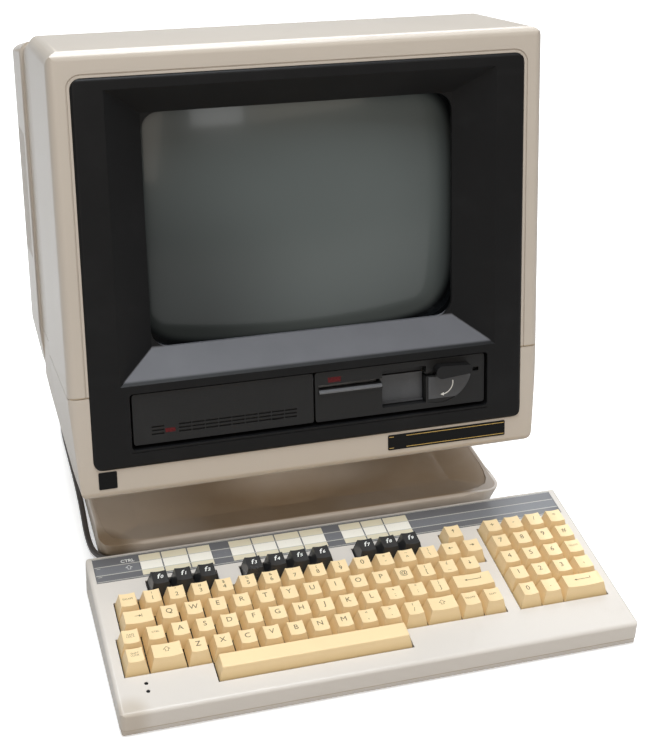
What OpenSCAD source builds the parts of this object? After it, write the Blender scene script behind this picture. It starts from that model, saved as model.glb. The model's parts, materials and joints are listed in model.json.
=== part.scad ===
// Early desktop computer: a monitor head with two drives on a swivel and tilt stand, and a separate
// keyboard in front of it with its lead coiled behind. Millimetres, +X right, front towards -Y, +Z up.
// The origin is on the table, under the middle of the whole machine without its keyboard lead.

/* [Monitor case] */
// Width of the case
case_w = 392; // [380:1:480]
// Height of the case's front face
case_h = 352; // [340:1:430]
// Thickness of the case's walls
case_wall = 3; // [2:0.5:4]
// Front to back length of the full-size hood
hood_depth = 121; // [100:1:150]
// Front to back length of the stepped-in neck behind the hood
neck_depth = 79; // [60:1:110]
// Front to back length of the rear cover
cover_depth = 85; // [70:1:110]
// How far the neck stands in from the hood's sides
neck_step = 3.5; // [1:0.5:4]
// How far the top comes down along the neck
neck_drop = 12.5; // [6:0.5:18]
// How far the top comes down along the rear cover
cover_drop = 11; // [4:0.5:20]
// Radius of the case's long corners
case_corner = 11; // [6:0.5:14]
// Radius of the edge round the case's front face
case_edge = 7; // [4:0.5:8]
// Height of the lower case at the front
lower_h = 87; // [82:1:95]
// How far each side of the lower case comes in at the bottom
lower_draft = 6; // [2:0.5:9]
// Case below the bezel
rim_below = 26; // [22:0.5:30]

/* [Bezel and screen] */
// Width of the bezel
bezel_w = 359; // [350:1:366]
// Height of the bezel
bezel_h = 306; // [300:1:312]
// How far the bezel stands out of the case
bezel_proud = 2; // [1:0.5:3]
// Width of the screen recess at the front
funnel_w = 306; // [300:1:316]
// Height of the screen recess at the front
funnel_h = 226; // [220:1:230]
// Lower edge of the screen recess above the bezel's lower edge
funnel_z = 69; // [68:0.5:72]
// Depth of the screen recess
funnel_depth = 20; // [15:1:26]
// Width of the screen opening
screen_w = 252; // [240:1:262]
// Height of the screen opening
screen_h = 186; // [176:1:196]
// Radius of the glass face
glass_radius = 620; // [500:10:900]
// Length of the picture tube behind its face
tube_length = 224; // [210:1:230]

/* [Drives] */
// Width of a drive's front panel
drive_w = 146.5; // [140:0.5:147]
// Height of a drive's front panel
drive_h = 42; // [40:0.5:43]
// Depth of a drive
drive_depth = 165; // [130:1:170]
// Lower edge of the drives above the bezel's lower edge
drive_z = 17; // [16:0.5:18]
// Gap between panels and round them
drive_gap = 1.5; // [1:0.25:2.5]
// Height of the disk slot
slot_h = 3.4; // [2.5:0.1:4]
// Length of the drive lever's handle
lever_length = 26; // [20:1:30]

/* [Stand] */
// Width of the base
base_w = 356; // [280:1:380]
// Depth of the base
base_d = 240; // [210:1:270]
// Height of the base's rim
base_h = 30; // [24:0.5:34]
// Thickness of the base's walls
base_wall = 3; // [2:0.5:4]
// Depth of the dish in the base's top
dish_depth = 7; // [3:0.5:9]
// Radius of the dome's foot
dome_r = 96; // [80:1:104]
// Height of the dome's flat top above the table
dome_top = 51; // [44:1:56]
// Radius of the turntable
turntable_r = 52; // [44:1:58]
// Diameter of the swivel bolt
bolt_d = 12; // [8:0.5:14]
// Height of the tilt pin above the dome's top
pin_rise = 28; // [24:1:34]
// Diameter of the tilt pin
pin_d = 10; // [7:0.5:12]
// Tilt pin below the case's underside
pin_drop = 17; // [15:0.5:20]
// Tilt pin behind the bezel's face
pin_back = 148.5; // [140:0.5:155]
// Distance between the stand's outer ears
ear_span = 130; // [110:1:150]
// Lean of the head at rest
tilt_rest = 12.1; // [8:0.1:14]

/* [Keyboard] */
// Width of the keyboard
keyboard_w = 413; // [402:1:480]
// Height of the keyboard's front
keyboard_h = 21; // [17:0.5:24]
// Length of the keyboard's top along its slope
keyboard_d = 167; // [164:1:200]
// Slope of the keyboard's top
keyboard_slope = 5; // [3:0.5:8]
// Thickness of the keyboard's case
keyboard_wall = 2.5; // [2:0.25:3]
// Height of the joint between the keyboard's halves
keyboard_seam = 6; // [5:0.5:8]
// Keyboard's middle to the right of the stand's middle
keyboard_shift = 17.7; // [0:0.1:40]
// Gap between the keyboard and the base
keyboard_gap = 16.7; // [15:0.1:40]
// Front edge of the top to the middle of the lowest letter row
front_margin = 45; // [44:0.5:60]
// Left edge of the top to the first key
left_margin = 14.3; // [12:0.1:30]
// Height of the label strip's plate
strip_t = 0.8; // [0.6:0.1:1]
// Width of the label strip, front to back
strip_d = 28; // [24:0.5:29]

/* [Keys] */
// Distance from key to key
pitch = 19.05; // [19:0.05:19.2]
// Gap between two keycaps
cap_gap = 0.85; // [0.6:0.05:1.4]
// Height of the key tops above the keyboard's top
cap_rise = 10; // [8:0.5:12]
// Depth of a keycap's skirt below the keyboard's top
cap_skirt = 1.5; // [1:0.1:2]
// Thickness of a keycap's walls
cap_wall = 1.3; // [1:0.1:1.6]
// Travel of a key
travel = 4; // [3:0.1:4.4]
// Width of a key's square stem
stem_w = 4.2; // [3.6:0.1:4.6]
// Depth of the dish in a keycap
cap_crown = 0.8; // [0.4:0.1:1]

/* [Rear fittings] */
// Size of the fan's frame
fan_size = 80; // [70:1:90]
// Thickness of the fan
fan_t = 25; // [20:1:30]
// Number of fan blades
fan_blades = 7; // [5:1:9]
// Diameter of the rear knobs
knob_d = 14; // [10:0.5:16]

/* [Keyboard lead] */
// Diameter of the lead
lead_d = 5; // [4.5:0.1:5.5]
// Diameter of the coil at the middle of its turns
coil_d = 55; // [50:1:60]
// Turns across the coil in one layer
coil_across = 3; // [2:1:3]
// Diameter of the plug
plug_d = 15; // [13:0.5:17]

/* [Hidden] */
// Height of the tilt pin above the table
pin_h = dome_top + pin_rise;
$fn = 48;
fit = 0.25;          // gap between parts that are only placed beside each other
running = 0.05;      // radial clearance of a pin or shaft that turns
over = 1;            // how far a cutter reaches past what it cuts

silver = [0.74, 0.71, 0.66];
black = [0.09, 0.09, 0.10];
cream = [0.93, 0.84, 0.62];
steel = [0.70, 0.71, 0.73];
board_green = [0.12, 0.33, 0.20];

// ---- Outlines and directions ----

function unit(v) = v / norm(v);
function corner_arc(a, b, d, n) =
    let (u = unit([a.x - b.x, a.y - b.y]), v = unit([d.x - b.x, d.y - b.y]), half = acos(u * v) / 2)
    b.z <= 0 ? [[b.x, b.y]] :
    let (tip = [b.x, b.y], c = tip + unit(u + v) * b.z / sin(half),
         p = tip + u * b.z / tan(half) - c, q = tip + v * b.z / tan(half) - c,
         a0 = atan2(p.y, p.x), sweep = (atan2(q.y, q.x) - a0 + 540) % 360 - 180)
    [for (k = [0:n]) c + b.z * [cos(a0 + sweep * k / n), sin(a0 + sweep * k / n)]];
// The outline through corners [x, y, radius], with each corner turned into an arc
function rounded(corners, n = 6) =
    let (m = len(corners))
    [for (i = [0:m - 1]) each corner_arc(corners[(i + m - 1) % m], corners[i], corners[(i + 1) % m], n)];
function box_outline(x0, y0, x1, y1, r) = [[x0, y0, r], [x1, y0, r], [x1, y1, r], [x0, y1, r]];

// Extrude an outline in X and Z along Y, an outline in Y and Z along X
module along_y(y0, y1) translate([0, y1, 0]) rotate([90, 0, 0]) linear_extrude(y1 - y0) children();
module along_x(x0, x1) translate([x0, 0, 0]) rotate([90, 0, 90]) linear_extrude(x1 - x0) children();
module block(x0, y0, z0, x1, y1, z1) translate([x0, y0, z0]) cube([x1 - x0, y1 - y0, z1 - z0]);
module pin_y(x, z, y0, y1, d) translate([x, y1, z]) rotate([90, 0, 0]) cylinder(h = y1 - y0, d = d);
module pin_x(y, z, x0, x1, d) translate([x0, y, z]) rotate([0, 90, 0]) cylinder(h = x1 - x0, d = d);

// ---- Where the three units stand ----

keyboard_depth = keyboard_d * cos(keyboard_slope);
base_front = keyboard_depth + keyboard_gap;          // from the keyboard's front edge
base_middle = base_front + base_d / 2;
case_depth = hood_depth + neck_depth + cover_depth;
case_bottom = -rim_below;                            // heights in the head are from the bezel's lower edge
case_top = case_bottom + case_h;
seam_z = case_bottom + lower_h;
neck_top = case_top - neck_drop;
cover_top = neck_top - cover_drop;
cover_y = hood_depth + neck_depth;
function floor_z(y) = case_bottom + y * tan(tilt_rest);   // the case's underside, level at rest
cover_floor = floor_z(cover_y);
cover_back_floor = cover_floor + cover_depth * 0.42;
pin_z = floor_z(pin_back) - pin_drop / cos(tilt_rest);
head_reach = max([for (p = rounded(cover_corners(0)))
    (p.x - pin_back) * cos(tilt_rest) + (p.y - pin_z) * sin(tilt_rest)]);
total_d = base_middle + head_reach;
keyboard_front = -total_d / 2;
stand_y = keyboard_front + base_middle;
right_edge = max(case_w / 2, keyboard_shift + keyboard_w / 2);
left_edge = min(-case_w / 2, keyboard_shift - keyboard_w / 2);
stand_x = -(right_edge + left_edge) / 2;
key_x = stand_x + keyboard_shift - keyboard_w / 2 + left_margin;
key_y = keyboard_front + front_margin * cos(keyboard_slope) - cap_rise * sin(keyboard_slope);
key_z = keyboard_h + front_margin * sin(keyboard_slope) + cap_rise * cos(keyboard_slope);

// The head's own frame: X across, Y into the case from the bezel's face, Z up from its lower edge
module head() translate([stand_x, stand_y, pin_h]) rotate([-tilt_rest, 0, 0])
    translate([0, -pin_back, -pin_z]) children();
module stand() translate([stand_x, stand_y, 0]) children();
// The keys' own frame: X from the first key, Y from the lowest letter row, Z from the key tops
module keys_frame() translate([key_x, key_y, key_z]) rotate([keyboard_slope, 0, 0]) children();

// ---- Monitor case ----

half_w = case_w / 2;
// The case from in front, smaller by inset all round, with its lower sides drawn in
module case_front(inset) {
    w = half_w - inset;
    foot = half_w - lower_draft - inset;
    r = case_corner - inset;
    polygon(rounded([[-foot, case_bottom + inset, r], [foot, case_bottom + inset, r], [w, seam_z, 0],
        [w, case_top - inset, r], [-w, case_top - inset, r], [-w, seam_z, 0]]));
}
// The hood and neck from the side; the underside stays level when the head leans back
module case_side(inset, front) {
    edge = front ? case_edge : 0;
    y0 = front ? 0 : -over;
    polygon(rounded([[y0, floor_z(y0) + inset, edge], [cover_y + over, floor_z(cover_y + over) + inset, 0],
        [cover_y + over, neck_top - inset, 0], [hood_depth, case_top - inset, 0],
        [y0, case_top - inset, edge]]));
}
// The case from above, stepping in from hood to neck
module case_plan(inset, edge) {
    w = half_w - inset;
    n = half_w - neck_step - inset;
    y0 = edge > 0 ? 0 : -over;
    polygon(rounded([[-w, y0, edge], [w, y0, edge], [w, hood_depth - 2 - inset, 2],
        [n, hood_depth + 3 - inset, 2], [n, cover_y, 0], [-n, cover_y, 0],
        [-n, hood_depth + 3 - inset, 2], [-w, hood_depth - 2 - inset, 2]], 4));
}
seat = 0.05;         // how far the rounded tops stand outside the flat sides that they meet
// Rounded long corners under the neck's top, which falls towards the rear
module neck_corners(inset) {
    w = half_w - neck_step - inset + seat;
    block(-half_w, -over, -2 * case_h, half_w, hood_depth + 4, 2 * case_h);
    translate([0, hood_depth, case_top - inset + seat]) rotate([-atan(neck_drop / neck_depth), 0, 0])
        along_y(-20, case_h)
        polygon(rounded([[-w, -2 * case_h, 0], [w, -2 * case_h, 0], [w, 0, case_corner - inset],
            [-w, 0, case_corner - inset]]));
}
module case_solid() intersection() {
    along_y(-over, cover_y) case_front(0);
    neck_corners(0);
    along_x(-half_w - over, half_w + over) case_side(0, true);
    linear_extrude(3 * case_h, center = true) case_plan(0, case_edge);
}
module case_hollow() intersection() {
    along_y(case_wall + 1, cover_y + over) case_front(case_wall);
    neck_corners(case_wall);
    along_x(-half_w, half_w) case_side(case_wall, false);
    linear_extrude(3 * case_h, center = true) union() {
        case_plan(case_wall, 0);
        translate([-half_w + neck_step + case_wall, cover_y - over])
            square([case_w - 2 * (neck_step + case_wall), 3 * over]);
    }
}
module bezel_outline(grow, r) polygon(rounded(box_outline(-bezel_w / 2 - grow, -grow,
    bezel_w / 2 + grow, bezel_h + grow, r + grow)));
bezel_corner = 8;
groove_out = 2.2;
groove_w = 1.1;
flange = 4;          // how far the bezel's rear flange reaches behind the case's front wall
front_wall = case_wall + 1;

module case_shell() difference() {
    case_solid();
    case_hollow();
    along_y(-over, front_wall + over) bezel_outline(fit, bezel_corner);
}
module above_seam(gap) block(-case_w, -case_h, seam_z + gap, case_w, case_h, case_h + case_top);

// Screw bosses of the head: [x, z] in the plane of the rear cover's rim
cover_bosses = [for (x = [18 - half_w, half_w - 18], z = [seam_z + 18, neck_top - 20]) [x, z]];
boss_d = 9;
boss_l = 26;
screw_d = 4;
well_d = 9;
board_x = -half_w + case_wall + neck_step + 5;      // face of the main board, on the left wall
board_y0 = 88;
board_y1 = 240;
board_z0 = seam_z + 27;
board_z1 = board_z0 + 196;
supply_x = half_w - case_wall - neck_step - 4;      // right side of the power supply
supply_y0 = 128;
supply_y1 = 238;
supply_z0 = seam_z + 30;
supply_z1 = supply_z0 + 106;
supply_w = 66;
board_posts = [for (y = [board_y0 + 8, board_y1 - 50], z = [board_z0 + 8, board_z1 - 8]) [y, z]];
supply_posts = [for (y = [supply_y0 + 12, cover_y - 12], z = [supply_z0 + 14, supply_z1 - 14]) [y, z]];

module upper_case() color(silver) head() {
    difference() {
        intersection() {
            case_shell();
            above_seam(0);
        }
        // Shadow groove round the bezel, on the front face
        along_y(-over, 0.9) difference() {
            bezel_outline(groove_out + groove_w, bezel_corner);
            bezel_outline(groove_out, bezel_corner);
        }
    }
    // Bosses for the rear cover's screws, each on a rib from the side wall
    for (b = cover_bosses) difference() {
        union() {
            pin_y(b.x, b.y, cover_y - boss_l, cover_y, boss_d);
            block(b.x > 0 ? b.x : 1 + neck_step - half_w, cover_y - boss_l, b.y - 1.5,
                b.x > 0 ? half_w - neck_step - 1 : b.x, cover_y, b.y + 1.5);
        }
        pin_y(b.x, b.y, cover_y - boss_l + 4, cover_y + over, screw_d);
    }
    for (p = board_posts) pin_x(p.x, p.y, 1 - half_w + (p.x > hood_depth ? neck_step : 0), board_x, 7);
    for (p = supply_posts) pin_x(p.x, p.y, supply_x, half_w - neck_step - 1, 8);
}

rail_w = 6;
module case_core(inset) intersection() {
    along_y(-over, cover_y + over) case_front(inset);
    linear_extrude(3 * case_h, center = true) intersection() {
        case_plan(inset, 0);
        translate([-case_w, inset]) square([2 * case_w, cover_y]);
    }
}
module lip(inset, z0, z1) intersection() {
    difference() {
        case_core(inset);
        case_core(case_wall + 1.8);
    }
    block(-case_w, hood_depth * 0.2, z0, case_w, cover_y - 1, z1);
}
module lower_case() color(silver) head() difference() {
    union() {
        difference() {
            case_shell();
            above_seam(0);
        }
        // Ribs that carry the drives and stiffen the floor
        intersection() {
            for (s = [-1, 1], x = [drive_gap / 2 + 12, drive_w - 12])
                block(s * x - rail_w / 2, front_wall + 24, case_bottom, s * x + rail_w / 2,
                    drive_depth - 8, drive_z + 2);
            case_solid();
        }
        // Lips that the upper case's sides slip over
        lip(case_wall - 0.5, seam_z - 6, seam_z);
        lip(case_wall + 0.15, seam_z, seam_z + 4);
    }
    // Shadow line under the joint
    difference() {
        block(-case_w, -over, seam_z - 0.8, case_w, cover_y + over, seam_z);
        case_core(1.2);
    }
    // Through holes for the bracket's bolts
    for (x = bracket_bolts_x, y = bracket_bolts_y) bracket_bolt(x, y, 4.5, 12);
}

// Rear cover: outline from behind, from the side, and its vents
vent_pitch = 7;
vent_w = 3;
sock_x0 = -162;
sock_x1 = 20;
sock_z0 = 84;
sock_z1 = 128;
inlet_x = 96;
inlet_z = 106;
switch_x = 136;
fan_x = 112;
fan_z = 196;
fan_mouth = fan_size - 6;
knob_z = 152;
knob_x = [-150, -120];
knob_shaft = 6;
function cover_corners(inset) = [[cover_y - (inset > 0 ? over : 0), cover_floor + inset, 0],
    [case_depth - inset, cover_back_floor + inset, 12 - inset], [case_depth - inset, cover_top - inset,
    14 - inset], [cover_y - (inset > 0 ? over : 0), neck_top - inset, 0]];
module cover_side(inset) polygon(rounded(cover_corners(inset)));
module cover_front(inset, rise = 0) {
    w = half_w - 0.5 - inset;
    polygon(rounded([[-w + lower_draft * 0.7, cover_floor + inset, case_corner - inset],
        [w - lower_draft * 0.7, cover_floor + inset, case_corner - inset],
        [w, seam_z, 0], [w, neck_top - inset + rise, case_corner - inset],
        [-w, neck_top - inset + rise, case_corner - inset], [-w, seam_z, 0]]));
}
module cover_plan(inset) {
    w = half_w - 0.5 - inset;
    y0 = cover_y - (inset > 0 ? over : 0);
    polygon(rounded([[-w, y0, inset > 0 ? 0 : 1.2], [w, y0, inset > 0 ? 0 : 1.2],
        [w - 1, case_depth - inset, 12 - inset], [-w + 1, case_depth - inset, 12 - inset]]));
}
module cover_corners_along(inset) {
    w = half_w - 0.5 - inset + seat;
    translate([0, cover_y, neck_top - inset + seat]) rotate([-atan(cover_drop / cover_depth), 0, 0])
        along_y(-20, case_h)
        polygon(rounded([[-w, -2 * case_h, 0], [w, -2 * case_h, 0], [w, 0, case_corner - inset],
            [-w, 0, case_corner - inset]]));
}
module cover_form(inset) intersection() {
    along_y(cover_y - over, case_depth + over) cover_front(inset, 30);
    along_x(-case_w, case_w) cover_side(inset);
    cover_corners_along(inset);
    linear_extrude(3 * case_h, center = true) cover_plan(inset);
}
module rear_cover() color(silver) head() difference() {
    union() {
        difference() {
            cover_form(0);
            cover_form(case_wall);
        }
        // Rim that closes onto the neck, and the wells of its screws
        intersection() {
            cover_form(0);
            union() {
                difference() {
                    along_y(cover_y, cover_y + 3) cover_front(0, 30);
                    along_y(cover_y - over, cover_y + 4) cover_front(neck_step + case_wall + 1);
                }
                for (b = cover_bosses) pin_y(b.x, b.y, cover_y, case_depth, well_d + 3);
            }
        }
        // Bosses for the fan
        for (x = [-1, 1], z = [-1, 1])
            pin_y(fan_x + x * fan_hole, fan_z + z * fan_hole, case_depth - 6, case_depth - 1, 8);
    }
    for (b = cover_bosses) {
        pin_y(b.x, b.y, cover_y - over, cover_y + 6, screw_d + 0.4);
        pin_y(b.x, b.y, cover_y + 4, case_depth + over, well_d);
    }
    // Vents across the back and down both sides
    for (x = [-150:vent_pitch:40]) block(x, case_depth - 8, 182, x + vent_w, case_depth + over, 252);
    for (y = [cover_y + 16:vent_pitch:case_depth - 18])
        block(-case_w, y, 120, case_w, y + vent_w, 232);
    for (x = [-150:vent_pitch:150]) block(x, cover_y + 18, 280, x + vent_w, case_depth - 20, case_top);
    // Fan mouth with its grille left standing, then the fittings' openings
    difference() {
        pin_y(fan_x, fan_z, case_depth - 8, case_depth + over, fan_mouth);
        pin_y(fan_x, fan_z, case_depth - 9, case_depth + 2, 22);
        for (r = [17, 24, 31]) difference() {
            pin_y(fan_x, fan_z, case_depth - 9, case_depth + 2, 2 * r + 2);
            pin_y(fan_x, fan_z, case_depth - 10, case_depth + 3, 2 * r);
        }
        for (a = [45, 135]) translate([fan_x, case_depth - 8, fan_z]) rotate([0, a, 0])
            translate([-fan_size / 2, 0, -1.2]) cube([fan_size, 9, 2.4]);
    }
    block(sock_x0, case_depth - 8, sock_z0, sock_x1, case_depth + over, sock_z1);
    block(inlet_x - 13.5, case_depth - 8, inlet_z - 12, inlet_x + 13.5, case_depth + over, inlet_z + 12);
    block(switch_x - 10, case_depth - 8, inlet_z - 13.5, switch_x + 10, case_depth + over, inlet_z + 13.5);
    for (x = knob_x) pin_y(x, knob_z, case_depth - 8, case_depth + over, knob_shaft + 2 * running);
}

// Screws that hold the rear cover, with slotted pan heads
module case_screws() color(steel) {
    head() for (b = cover_bosses) difference() {
        union() {
            pin_y(b.x, b.y, cover_y - 14, cover_y + 4, screw_d);
            pin_y(b.x, b.y, cover_y + 4, cover_y + 6.5, well_d - 1.5);
        }
        block(b.x - 4, cover_y + 5.6, b.y - 0.5, b.x + 4, cover_y + 8, b.y + 0.5);
    }
    head() for (x = bracket_bolts_x, y = bracket_bolts_y) {
        bracket_bolt(x, y, 4.3, 9);
        on_floor(x, y) translate([0, 0, -bracket_t - 3]) cylinder(h = 3, d = 8, $fn = 6);
    }
}

// ---- Bezel, picture tube and its parts ----

bay_z0 = drive_z - drive_gap * 2;
bay_z1 = drive_z + drive_h + drive_gap;
bay_half = drive_w + drive_gap * 1.75;
bezel_t = 3;
screen_z = funnel_z + (funnel_h - screen_h) / 2;
post_x = screen_w / 2 + 24;
post_z = [screen_z - 6, screen_z + screen_h + 6];
tube_y = funnel_depth + bezel_t + 13;      // plane of the tube's lugs
// The four sloping walls of the screen recess, as a wedge in plan cut with a wedge from the side
module funnel_form(grow, y0, y1) {
    sx = (funnel_w - screen_w) / 2 / funnel_depth;
    sz = (funnel_h - screen_h) / 2 / funnel_depth;
    mid = funnel_z + funnel_h / 2;
    x0 = funnel_w / 2 + grow - y0 * sx;
    x1 = funnel_w / 2 + grow - y1 * sx;
    z0 = funnel_h / 2 + grow - y0 * sz;
    z1 = funnel_h / 2 + grow - y1 * sz;
    intersection() {
        linear_extrude(3 * case_h, center = true) polygon([[-x0, y0], [x0, y0], [x1, y1], [-x1, y1]]);
        along_x(-case_w, case_w)
            polygon([[y0, mid - z0], [y1, mid - z1], [y1, mid + z1], [y0, mid + z0]]);
    }
}
module bezel() color(black) head() difference() {
    union() {
        // Front plate, rounded over at its edge, and the flange behind the case's front wall
        intersection() {
            along_y(-bezel_proud, front_wall) bezel_outline(0, bezel_corner);
            along_x(-case_w, case_w) polygon(rounded([[-bezel_proud, 0, 2.5], [front_wall + over, 0, 0],
                [front_wall + over, bezel_h, 0], [-bezel_proud, bezel_h, 2.5]], 4));
            linear_extrude(3 * case_h, center = true) polygon(rounded([[-bezel_w / 2, -bezel_proud, 2.5],
                [bezel_w / 2, -bezel_proud, 2.5], [bezel_w / 2, front_wall + over, 0],
                [-bezel_w / 2, front_wall + over, 0]], 4));
        }
        along_y(front_wall, front_wall + 2.5) bezel_outline(flange, bezel_corner);
        funnel_form(bezel_t, front_wall, funnel_depth);
        along_y(funnel_depth, funnel_depth + bezel_t) polygon(rounded(box_outline(-post_x - 5,
            post_z[0] - 5, post_x + 5, post_z[1] + 5, 8)));
        for (x = [-post_x, post_x], z = post_z) pin_y(x, z, funnel_depth, tube_y, 10);
        // Walls round the drive bay
        along_y(front_wall, front_wall + 22) difference() {
            polygon(rounded(box_outline(-bay_half - bezel_t, bay_z0 - bezel_t + 1, bay_half + bezel_t,
                bay_z1 + bezel_t, 5)));
            polygon(rounded(box_outline(-bay_half, bay_z0, bay_half, bay_z1, 3)));
        }
    }
    funnel_form(0, -bezel_proud - over, funnel_depth + 0.01);
    along_y(funnel_depth - over, funnel_depth + bezel_t + over) polygon(rounded(box_outline(-screen_w / 2,
        screen_z, screen_w / 2, screen_z + screen_h, 14)));
    along_y(-bezel_proud - over, front_wall + 3) polygon(rounded(box_outline(-bay_half, bay_z0,
        bay_half, bay_z1, 3)));
    // Lighter ledge line under the bay
    block(-bay_half, -bezel_proud - over, bay_z0 - 2.4, bay_half, -bezel_proud + 0.6, bay_z0 - 1.4);
    for (x = [-post_x, post_x], z = post_z) pin_y(x, z, funnel_depth + 6, tube_y + over, 3.4);
}

glass_w = screen_w + 22;
glass_h = screen_h + 20;
glass_z = screen_z + screen_h / 2;
glass_bulge = 5;
neck_r = 14;
fit_neck = 0.1;
face_y = funnel_depth + bezel_t + 1.2;     // nearest point of the glass
skirt_y = face_y + 40;
cone_y = face_y + 132;
tube_end = face_y + tube_length;
// The glass face from in front: four bowed sides and round corners
module glass_outline(grow) {
    w = glass_w / 2 + grow;
    h = glass_h / 2 + grow;
    polygon([for (k = [0:8:352]) let (c = cos(k), s = sin(k), p = 0.30)
        [w * sign(c) * pow(abs(c), p), glass_z + h * sign(s) * pow(abs(s), p)]]);
}
module screen_tube() color([0.35, 0.40, 0.40]) head() {
    intersection() {
        along_y(face_y, skirt_y) glass_outline(0);
        translate([0, face_y + glass_radius, glass_z]) sphere(r = glass_radius, $fn = 96);
    }
    hull() {
        along_y(skirt_y, skirt_y + 2) glass_outline(0);
        along_y(skirt_y + 34, skirt_y + 35) glass_outline(-34);
        pin_y(0, glass_z, cone_y - 1, cone_y, 4 * neck_r);
    }
    hull() {
        pin_y(0, glass_z, cone_y - 1, cone_y, 4 * neck_r);
        pin_y(0, glass_z, cone_y + 22, cone_y + 23, 2 * neck_r);
    }
    pin_y(0, glass_z, cone_y + 20, tube_end, 2 * neck_r);
    // Steel rim band with a lug at each corner
    difference() {
        union() {
            along_y(tube_y, tube_y + 12) glass_outline(1.6);
            for (x = [-post_x, post_x], z = post_z) hull() {
                pin_y(x, z, tube_y, tube_y + 2, 14);
                pin_y(sign(x) * (glass_w / 2 - 16), z > glass_z ? glass_z + glass_h / 2 - 16 :
                    glass_z - glass_h / 2 + 16, tube_y, tube_y + 2, 18);
            }
        }
        along_y(tube_y - over, tube_y + 13) glass_outline(-1);
        for (x = [-post_x, post_x], z = post_z) pin_y(x, z, tube_y - over, tube_y + 3, 3.4);
    }
}

yoke_y = cone_y + 24;
module deflection_yoke() color([0.55, 0.28, 0.12]) head() translate([0, yoke_y, glass_z])
    rotate([-90, 0, 0]) rotate_extrude() polygon([[neck_r + fit_neck, 0], [neck_r + 24, 0], [neck_r + 25, 4],
        [neck_r + 16, 12], [neck_r + 14, 28], [neck_r + 20, 32], [neck_r + 20, 36], [neck_r + fit_neck, 36]]);
module neck_board() color(board_green) head() difference() {
    union() {
        block(-32, tube_end - 8, glass_z - 28, 32, tube_end - 6.4, glass_z + 36);
        pin_y(0, glass_z, tube_end - 12, tube_end - 6.4, 2 * neck_r + 6);
    }
    pin_y(0, glass_z, tube_end - 13, tube_end + over, 2 * (neck_r + fit_neck));
}

// ---- Drives ----

left_x = -drive_w - drive_gap / 2;
right_x = drive_gap / 2;
panel_y = 0.5;
panel_t = 5;
panel_corner = 2;
function drive_mid(x0) = x0 + drive_w / 2;
module drive_panel(x0) along_y(panel_y, panel_y + panel_t)
    polygon(rounded(box_outline(x0, drive_z, x0 + drive_w, drive_z + drive_h, panel_corner), 3));
module drive_case(x0, front = panel_y + panel_t) difference() {
    block(x0 + 1, front, drive_z + 2, x0 + drive_w - 1, drive_depth, drive_z + drive_h - 1);
    // Side rails' screw channels and the connector's gap at the back
    for (s = [0, 1]) block(x0 + (s ? drive_w - 2 : 0), 30, drive_z + 9, x0 + (s ? drive_w : 2),
        drive_depth - 10, drive_z + 12);
    block(x0 + 30, drive_depth - 8, drive_z + 1, x0 + drive_w - 30, drive_depth + over, drive_z + 12);
}

// Ventilation grooves: rows of short segments, with the light's window in the second place
groove_rows = [7.2, 10.2, 13.2];
groove_step = 10.8;
groove_count = 11;
groove_x = left_x + 14.5;
light_w = 8;
module hard_drive_panel() color(black) head() difference() {
    drive_panel(left_x);
    for (z = groove_rows, k = [0:groove_count - 1]) if (k != 1)
        block(groove_x + k * groove_step, panel_y - over, drive_z + z,
            groove_x + k * groove_step + groove_step - 1, panel_y + 1.6, drive_z + z + 1.2);
    block(groove_x + groove_step, panel_y - over, drive_z + 8, groove_x + groove_step + light_w,
        panel_y + panel_t + over, drive_z + 11.5);
}
module hard_drive_body() color(steel) head() drive_case(left_x);

slot_z = drive_z + 27.5;
recess_x0 = right_x + 57;
recess_x1 = right_x + 95;
recess_d = 9;
floppy_light_x = right_x + 11;
floppy_light_z = drive_z + 32.5;
floppy_light_w = 11;
lever_x = right_x + 106.5;
lever_z = drive_z + 32.5;
lever_hub = 11;
module floppy_fascia() color(black) head() difference() {
    union() {
        drive_panel(right_x);
        // Back of the finger recess, inside the drive
        block(recess_x0 - 2, panel_y + panel_t - over, drive_z + 3, recess_x1 + 2,
            panel_y + recess_d + 1, drive_z + drive_h - 3);
        // Raised lip under the disk slot
        block(right_x + 3, panel_y - 1.2, slot_z - 5, recess_x0, panel_y + over, slot_z - 2.6);
    }
    block(right_x + 3, panel_y - 3, slot_z, right_x + drive_w - 5, panel_y + panel_t + recess_d,
        slot_z + slot_h);
    // Sloping funnel of the slot
    along_x(right_x + 3, recess_x0) polygon([[panel_y - 3, slot_z - 2.6], [panel_y - 1.2, slot_z - 2.6],
        [panel_y + 3, slot_z], [panel_y + 3, slot_z + slot_h], [panel_y - 3, slot_z + slot_h]]);
    block(recess_x0, panel_y - over, drive_z + 5, recess_x1, panel_y + recess_d, drive_z + drive_h - 5);
    block(floppy_light_x, panel_y - over, floppy_light_z, floppy_light_x + floppy_light_w,
        panel_y + panel_t + over, floppy_light_z + 4.5);
    pin_y(lever_x, lever_z, panel_y - over, panel_y + panel_t + recess_d, lever_shaft + 2 * running);
    // Shallow sunk quarter where the lever swings
    intersection() {
        pin_y(lever_x, lever_z, panel_y - over, panel_y + 0.7, 2 * lever_length + 6);
        block(lever_x - 10, panel_y - over, drive_z + 3, right_x + drive_w - 4, panel_y + 1, lever_z);
    }
}
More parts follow.
